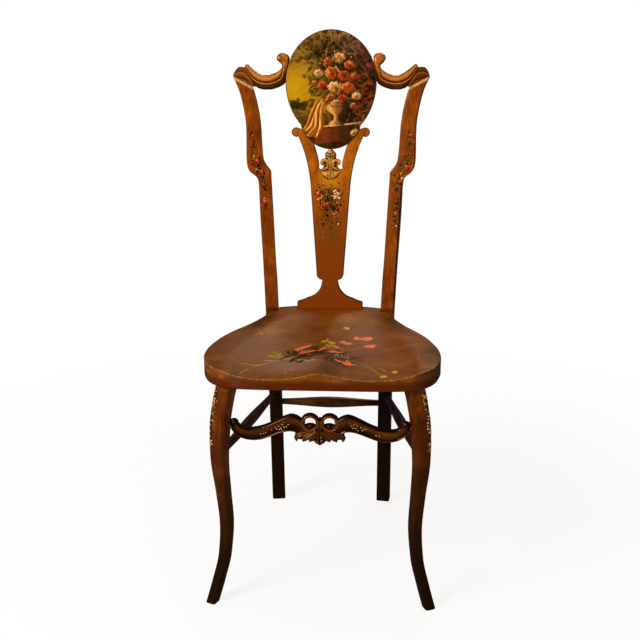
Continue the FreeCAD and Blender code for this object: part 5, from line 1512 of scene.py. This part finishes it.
def strokes(table, place, seed, bend=0.12):
    """Single strokes of a brush, all worked out together. Each runs from one point to another with a little
    bend, as wide in its middle as the table says and drawn in towards both ends by a power of 1 less the
    square of the share of the way, and stands above the surface as a flat dome. Later colours lie on
    earlier ones."""
    order = list(COLOURS)
    table = sorted(table, key=lambda row: order.index(row[6]))
    chance = np.random.default_rng(seed)
    count = len(table)
    numbers = np.array([row[:5] for row in table], float)
    start, finish, width = numbers[:, :2], numbers[:, 2:4], numbers[:, 4]
    power = np.array([STROKE_POWERS[row[5]] for row in table])[:, None]
    colour = np.array([linear(COLOURS[row[6]]) for row in table])
    t = np.linspace(0, 1, 11)
    run = finish - start
    normal = np.stack([-run[:, 1], run[:, 0]], 1)
    bow = chance.uniform(-bend, bend, count)[:, None] * 4 * (t * (1 - t))[None]
    centre = start[:, None] + run[:, None] * t[:, None] + normal[:, None] * bow[..., None]
    normal /= np.linalg.norm(normal, axis=1, keepdims=True)
    half = width[:, None] / 2 * np.clip(1 - (2 * t - 1) ** 2, 0, 1)[None] ** power
    across = np.array([-1.0, -0.6, 0.0, 0.6, 1.0, 0.5, -0.5])
    rise = np.array([-0.05, 0.8, 1.0, 0.8, -0.05, -1.2, -1.2])
    flat = centre[:, :, None] + (half[..., None] * across)[..., None] * normal[:, None, None]
    film = PAINT_FILM * (0.5 + np.arange(count) / count)[:, None, None]
    lift = film * rise * (half[..., None] > 0) + 0.02
    points = place(flat[..., 0], flat[..., 1], lift)
    shade = 1 + 0.22 * (chance.random((count, 1, 1)) - 0.5) + 0.25 * (t - 0.5)[None, :, None] + 0.1 * across
    paint = np.clip(colour[:, None, None] * shade[..., None], 0, 1)
    return [patch(p, paint=c) for p, c in zip(points, paint)]


def leaf_spatter(runs, count, length, tones, seed):
    """Small leaves and buds thrown about lines: a run is its two ends and how far the leaves stray."""
    chance = np.random.default_rng(seed)
    rows = []
    for x0, z0, x1, z1, stray in runs:
        for _ in range(count):
            share, angle, size = chance.random(), chance.uniform(0, math.tau), chance.uniform(*length)
            x = x0 + (x1 - x0) * share + chance.normal(0, stray)
            z = z0 + (z1 - z0) * share + chance.normal(0, stray)
            dx, dz = size * math.cos(angle) / 2, size * math.sin(angle) / 2
            tone = tones[chance.integers(len(tones))]
            rows.append((x - dx, z - dz, x + dx, z + dz, size * 0.42, "leaf", tone))
    return tuple(rows)


# The tones of a flower from shadow to light, under the name that stands for it in a table.
FLOWER_TONES = {"red": ("red_dark", "red", "coral"), "peach": ("orange_dark", "peach", "cream")}


def blossoms(table, seed):
    """A table with each red or peach touch turned into a small flower: dark leaves behind, then six short
    petals about its middle, brighter towards the upper left."""
    chance = np.random.default_rng(seed)
    rows = []
    for x0, z0, x1, z1, width, end, tone in table:
        if tone not in FLOWER_TONES:
            rows.append((x0, z0, x1, z1, width, end, tone))
            continue
        x, z, radius = (x0 + x1) / 2, (z0 + z1) / 2, 0.6 * max(width, math.hypot(x1 - x0, z1 - z0))
        first = chance.uniform(0, math.tau)
        for count in range(6):
            angle = first + math.tau * (count + chance.uniform(-0.3, 0.3)) / 6
            far = radius * chance.uniform(0.8, 1.25)
            dx, dz = far * math.cos(angle), far * math.sin(angle)
            light = (dz - dx) / far + chance.uniform(-0.5, 0.5)
            petal = FLOWER_TONES[tone][int(np.clip(0.9 + light, 0, 2))]
            leaf = ("ink", "umber", "olive")[count % 3]
            rows.append((x + 0.15 * dx, z + 0.15 * dz, x + dx, z + dz, 0.75 * radius, "petal", petal))
            rows.append((x, z, x + 1.8 * dx, z + 1.8 * dz, 0.6 * radius, "leaf", leaf))
    return tuple(rows)


def on_splat(x, rise, lift):
    """Points a little before the splat's face."""
    return in_splat(np.stack([x, -lift, rise], -1))


def on_post(x, rise, lift):
    """Points a little before the right post's front face, from places seen from the front."""
    across = (x - POST_OFFSET) / math.cos(POST_TURN)
    return in_post(np.stack([across, post_front(rise) - lift, rise], -1))


def on_rail(x, z, lift):
    """Points a little before the field of the rail's arm."""
    return in_rail(np.stack([x, RAIL_FIELD_DEPTH - lift, z], -1))


def on_gleam(x, z, lift):
    """Points a little before the boss behind an eye, which rises by the root of 1 less its radius squared."""
    (middle_x, middle_z), (half_x, half_z), height, front = EYE_BOSS
    inside = 1 - ((x - middle_x) / half_x) ** 2 - ((z - middle_z) / half_z) ** 2
    boss = height * np.sqrt(np.clip(inside, 0, 1))
    return in_rail(np.stack([x, front - boss - lift, z], -1))


def mirror(patches):
    """The same patches on the chair's other side."""
    return [patch(p["points"] * (-1, 1, 1), **p["marks"]) for p in patches]


def fleck_rows(spots, seed):
    """Short gold flecks at places (x, height, size), each tilted up to 60 degrees either way. Three in ten
    are dark."""
    chance = np.random.default_rng(seed)
    rows = []
    for x, z, size in spots:
        angle = math.radians(chance.uniform(-60, 60))
        dx, dz = size * math.cos(angle) / 2, size * math.sin(angle) / 2
        tone = "gold" if chance.random() > 0.3 else "ink"
        rows.append((x - dx, z - dz, x + dx, z + dz, size * 0.5, "leaf", tone))
    return rows


RAIL_FLECKS = (
    (106, 327, 2.4), (101, 326, 2.8), (96, 327, 3.0), (92, 329, 2.4), (82, 334, 2.6), (79, 338, 3.2),
    (76, 339, 2.8), (73, 336, 3.4), (70, 341, 3.0), (67, 338, 3.6), (64, 344, 3.0), (61, 339, 3.4),
    (57, 340, 3.2), (65, 335, 2.6), (58, 346, 2.8), (69, 335, 2.8), (54, 344, 2.8), (51, 348, 2.4),
    (62, 348, 2.2), (74, 342, 2.4),
)
right_flecks = strokes(fleck_rows(RAIL_FLECKS, 3), on_rail, 5)
left_flecks = mirror(strokes(fleck_rows(RAIL_FLECKS, 9), on_rail, 6))
gleam = strokes(EYE_GLEAM, on_gleam, 1, 0.0)
build("rail_flecks", right_flecks + left_flecks + gleam + mirror(gleam), stroke_finish)

# Leaves round the seat's flowers and worn specks beside them: the runs and how far they stray.
SEAT_LEAVES = ((-64, 136, -8, 150, 13), (4, 132, 60, 116, 14), (-58, 108, -6, 128, 11), (8, 98, 44, 94, 9))
SEAT_SPECKS = ((-100, 110, 90, 250, 22), (-120, 70, 120, 70, 14))
seat_tones = ("shadow", "shadow", "umber", "shadow", "olive")
seat_rows = SEAT_SPRAY + leaf_spatter(SEAT_LEAVES, 34, (8, 20), seat_tones, 41)
seat_rows += leaf_spatter(SEAT_SPECKS, 9, (1.0, 3.0), ("scratch", "tan"), 51) + SEAT_CURVE
build("seat_spray", strokes(seat_rows, on_seat, 2), stroke_finish)

# The leaves of the splat's bouquet: runs, count for each, lengths, colours, seed.
SPLAT_LEAVES = (
    (((-14, 238, 16, 230, 8), (-12, 218, 12, 214, 9), (-8, 204, 8, 194, 8), (-12, 182, 14, 178, 7)),
        52, (2.6, 6.0), ("ink", "umber", "umber", "olive", "red_dark"), 21),
    (((-12, 226, 12, 218, 5), (-8, 212, 6, 202, 5)), 22, (5.5, 9.5), ("ink", "umber", "ink", "olive"), 23),
    (((-18, 236, -8, 208, 4), (2, 216, 14, 208, 4)), 24, (4.5, 9), ("ink", "umber", "ink", "red_dark"), 24),
    (((-14, 234, -8, 210, 6), (6, 236, 16, 222, 6)), 12, (2.0, 3.6), ("red_dark", "ochre", "orange"), 22),
)
splat_rows = blossoms(SPLAT_SPRAY, 61)
for leaves in SPLAT_LEAVES:
    splat_rows += leaf_spatter(*leaves)
splat_rows += GAP_GLAZE_AND_SHADE + tuple((-x0, z0, -x1, z1, *rest) for x0, z0, x1, z1, *rest in GAP_GLAZE_AND_SHADE)
build("splat_spray", strokes(splat_rows, on_splat, 4), stroke_finish)

POST_STEMS = (
    (148, 350, 146, 322, 2.2), (146, 308, 137, 284, 3.2), (138, 282, 128, 264, 2.8),
    (127, 262, 125, 238, 2.0), (126, 224, 125, 196, 2.0), (125, 190, 124, 168, 1.6),
)
stem_tones = ("ink", "umber", "ink", "olive", "umber")
right_rows = blossoms(RIGHT_SPRAY, 62) + leaf_spatter(POST_STEMS, 22, (3.6, 8.0), stem_tones, 31)
left_rows = blossoms(LEFT_SPRAY, 63) + leaf_spatter(POST_STEMS[:5], 17, (3.6, 7.6), stem_tones, 32)
right_spray = strokes(right_rows, on_post, 7) + strokes(POST_SHADE, on_post, 1, 0.0)
left_spray = mirror(strokes(left_rows, on_post, 8))
build("post_sprays", right_spray + left_spray, stroke_finish)

# Flecks on the legs: the corner that faces outwards and forwards, their count, the heights they take.
FLECK_SIDE = math.radians(-28)
FLECK_COUNT = 110
FLECK_HEIGHTS = (300, 408)
FLECK_RADIUS = 17


def leg_fleck_patches(flip, seed):
    """Gold flecks on dark glaze down the outer front corner of a leg."""
    chance = np.random.default_rng(seed)
    low, high = FLECK_HEIGHTS
    rows = []
    for _ in range(FLECK_COUNT):
        z = low + (high - low) * chance.random()
        rows.append((chance.normal(0, 3.0), z, 1.6 + 2.6 * chance.random()))
    table = []
    for z in range(low - 2, 384, 17):
        table.append((chance.normal(0, 1), z, chance.normal(0, 1), z + 26, 7.5, "line", "umber"))
    table += fleck_rows(rows, seed)

    def on_leg(x, z, lift):
        """Points just outside the leg: x is the way round the section from its outer front corner. The leg's
        outline is met where a ray from its middle crosses from one point of the outline to the next."""
        rings = leg_ring(z.ravel(), 8)[..., :2]
        middle = rings.mean(1, keepdims=True)
        angle = FLECK_SIDE + x.ravel() / FLECK_RADIUS
        ray = np.stack([np.cos(angle), np.sin(angle)], -1)[:, None]
        a = rings - middle
        b = np.roll(a, -1, 1)
        side_a, side_b = (ray[..., 0] * p[..., 1] - ray[..., 1] * p[..., 0] for p in (a, b))
        ahead = (a * ray).sum(-1) > 0
        k = np.argmax(ahead & (side_a * side_b <= 0), axis=1)[:, None]
        side_a, side_b = np.take_along_axis(side_a, k, 1), np.take_along_axis(side_b, k, 1)
        near = np.take_along_axis(a, k[..., None], 1)[:, 0]
        far = np.take_along_axis(b, k[..., None], 1)[:, 0]
        spot = near + (far - near) * side_a / (side_a - side_b + 1e-12)
        spot = middle[:, 0] + spot + ray[:, 0] * (lift.ravel()[:, None] + 0.05)
        points = np.hstack([spot, z.ravel()[:, None]])
        return points.reshape(*x.shape, 3) * (flip, 1, 1)

    return strokes(table, on_leg, seed + 1)


build("leg_flecks", leg_fleck_patches(1, 11) + leg_fleck_patches(-1, 12), stroke_finish)

# The studio

WHITE = (1, 1, 1, 1)
FLOOR_RINGS = (0.0, 0.6, 1.2, 2.4, 5.0, 9.0)
FLOOR_DROP = 0.0004


def plain_floor():
    """A pale floor that fades into the white background, so that only the chair's shadow shows on it: round
    rings about the origin, joined by quads."""
    turn = full_turn(96)
    radius = np.array(FLOOR_RINGS)[:, None]
    x, y = radius * np.cos(turn), radius * np.sin(turn)
    points = np.stack([x, y, np.full(x.shape, -FLOOR_DROP)], -1).reshape(-1, 3)
    index = np.arange(x.size).reshape(x.shape)
    index = np.hstack([index, index[:, :1]])
    quads = np.stack([index[:-1, :-1], index[1:, :-1], index[1:, 1:], index[:-1, 1:]], -1)
    mesh = bpy.data.meshes.new("floor")
    mesh.from_pydata(points.tolist(), [], quads.reshape(-1, 4).tolist())
    mesh.validate()
    finish, tree, shader, spots = new_finish("pale_floor_paint")
    fill(tree, shader, {"Base Color": rgba("#F2F1EF"), "Roughness": 0.9, "Specular IOR Level": 0.1})
    far = add(tree, "ShaderNodeVectorMath", {0: spots}, operation="LENGTH").outputs["Value"]
    ends = {"Value": far, "From Min": 0.25, "From Max": 1.4, "To Min": 0.84, "To Max": 1.0}
    fade = add(tree, "ShaderNodeMapRange", ends).outputs["Result"]
    path = add(tree, "ShaderNodeLightPath").outputs
    seen = {0: fade, 1: path["Is Camera Ray"]}
    share = add(tree, "ShaderNodeMath", seen, operation="MULTIPLY").outputs["Value"]
    white, dim = (
        add(tree, "ShaderNodeEmission", {"Color": WHITE, "Strength": level}).outputs["Emission"]
        for level in (1.0, 0.05)
    )
    mix = add(tree, "ShaderNodeMixShader", {0: share, 1: shader.outputs["BSDF"], 2: white}).outputs["Shader"]
    # Reflected in the lacquer, the floor is dim, as under a dark cloth.
    mix = add(tree, "ShaderNodeMixShader", {0: path["Is Glossy Ray"], 1: mix, 2: dim}).outputs["Shader"]
    fill(tree, tree.nodes["Material Output"], {"Surface": mix})
    mesh.materials.append(finish)
    floor = bpy.data.objects.new("floor", mesh)
    bpy.context.scene.collection.objects.link(floor)
    return floor


def soft_box(name, place, target, size, power, colour="#FFFFFF"):
    """A square studio light at a place, aimed at a point."""
    lamp = bpy.data.lights.new(name, "AREA")
    lamp.shape = "SQUARE"
    lamp.size = size
    lamp.energy = power
    lamp.color = linear(colour)
    holder = bpy.data.objects.new(name, lamp)
    bpy.context.scene.collection.objects.link(holder)
    aim = np.array(target) - np.array(place)
    tilt = math.acos(-aim[2] / np.linalg.norm(aim))
    holder.location = place
    holder.rotation_euler = (tilt, 0, math.atan2(aim[1], aim[0]) - math.pi / 2)
    return holder


def room_light(level, seen_by_gloss):
    """The studio's own light, the same from all sides, with a white background where the camera sees it."""
    world = bpy.data.worlds.new("studio")
    bpy.context.scene.world = world
    world.use_nodes = True
    tree = world.node_tree
    path = add(tree, "ShaderNodeLightPath").outputs
    strength = level
    for ray, there in (("Is Glossy Ray", seen_by_gloss), ("Is Camera Ray", 1.0)):
        strength = add(tree, "ShaderNodeMix", {0: path[ray], 2: strength, 3: there}).outputs[0]
    fill(tree, tree.nodes["Background"], {"Color": WHITE, "Strength": strength})


# The photograph's viewpoint, in metres from the chair's front, with its turns and its lens in millimetres.
CAMERA_PLACE = (0.0956, -1.5639, 1.0272)
CAMERA_PAN = 0.0592
CAMERA_TILT = math.radians(90 - 17.2176)
CAMERA_ROLL = -0.0047
CAMERA_LENS = 56.35
CAMERA_SENSOR = 36


def set_camera():
    """The photograph's viewpoint: a little above the seat's level, a little to the right, tilted down."""
    lens = bpy.data.cameras.new("camera")
    lens.lens = CAMERA_LENS
    lens.sensor_width = CAMERA_SENSOR
    view = bpy.data.objects.new("camera", lens)
    bpy.context.scene.collection.objects.link(view)
    x, y, z = CAMERA_PLACE
    view.matrix_world = Matrix.Translation((x, cad_low[1] + y, z))
    for turn, axis in ((CAMERA_PAN, "Z"), (CAMERA_TILT, "X"), (CAMERA_ROLL, "Z")):
        view.matrix_world = view.matrix_world @ Matrix.Rotation(turn, 4, axis)
    bpy.context.scene.camera = view


# The room's light on the chair, and as the lacquer reflects it.
ROOM_LEVEL = 0.36
GLOSS_LEVEL = 0.03

plain_floor()
soft_box("key_light", (-1.7, -1.5, 1.9), (0, 0, 0.6), 0.9, 64, "#FFF4E6")
soft_box("fill_light", (1.9, -2.2, 1.2), (0, 0, 0.5), 1.6, 14).visible_glossy = False
soft_box("back_light", (0.3, 1.7, 2.1), (0, 0.1, 0.45), 1.0, 13, "#FFE2C4")
room_light(ROOM_LEVEL, GLOSS_LEVEL)
set_camera()
bpy.context.scene.view_settings.view_transform = "Standard"
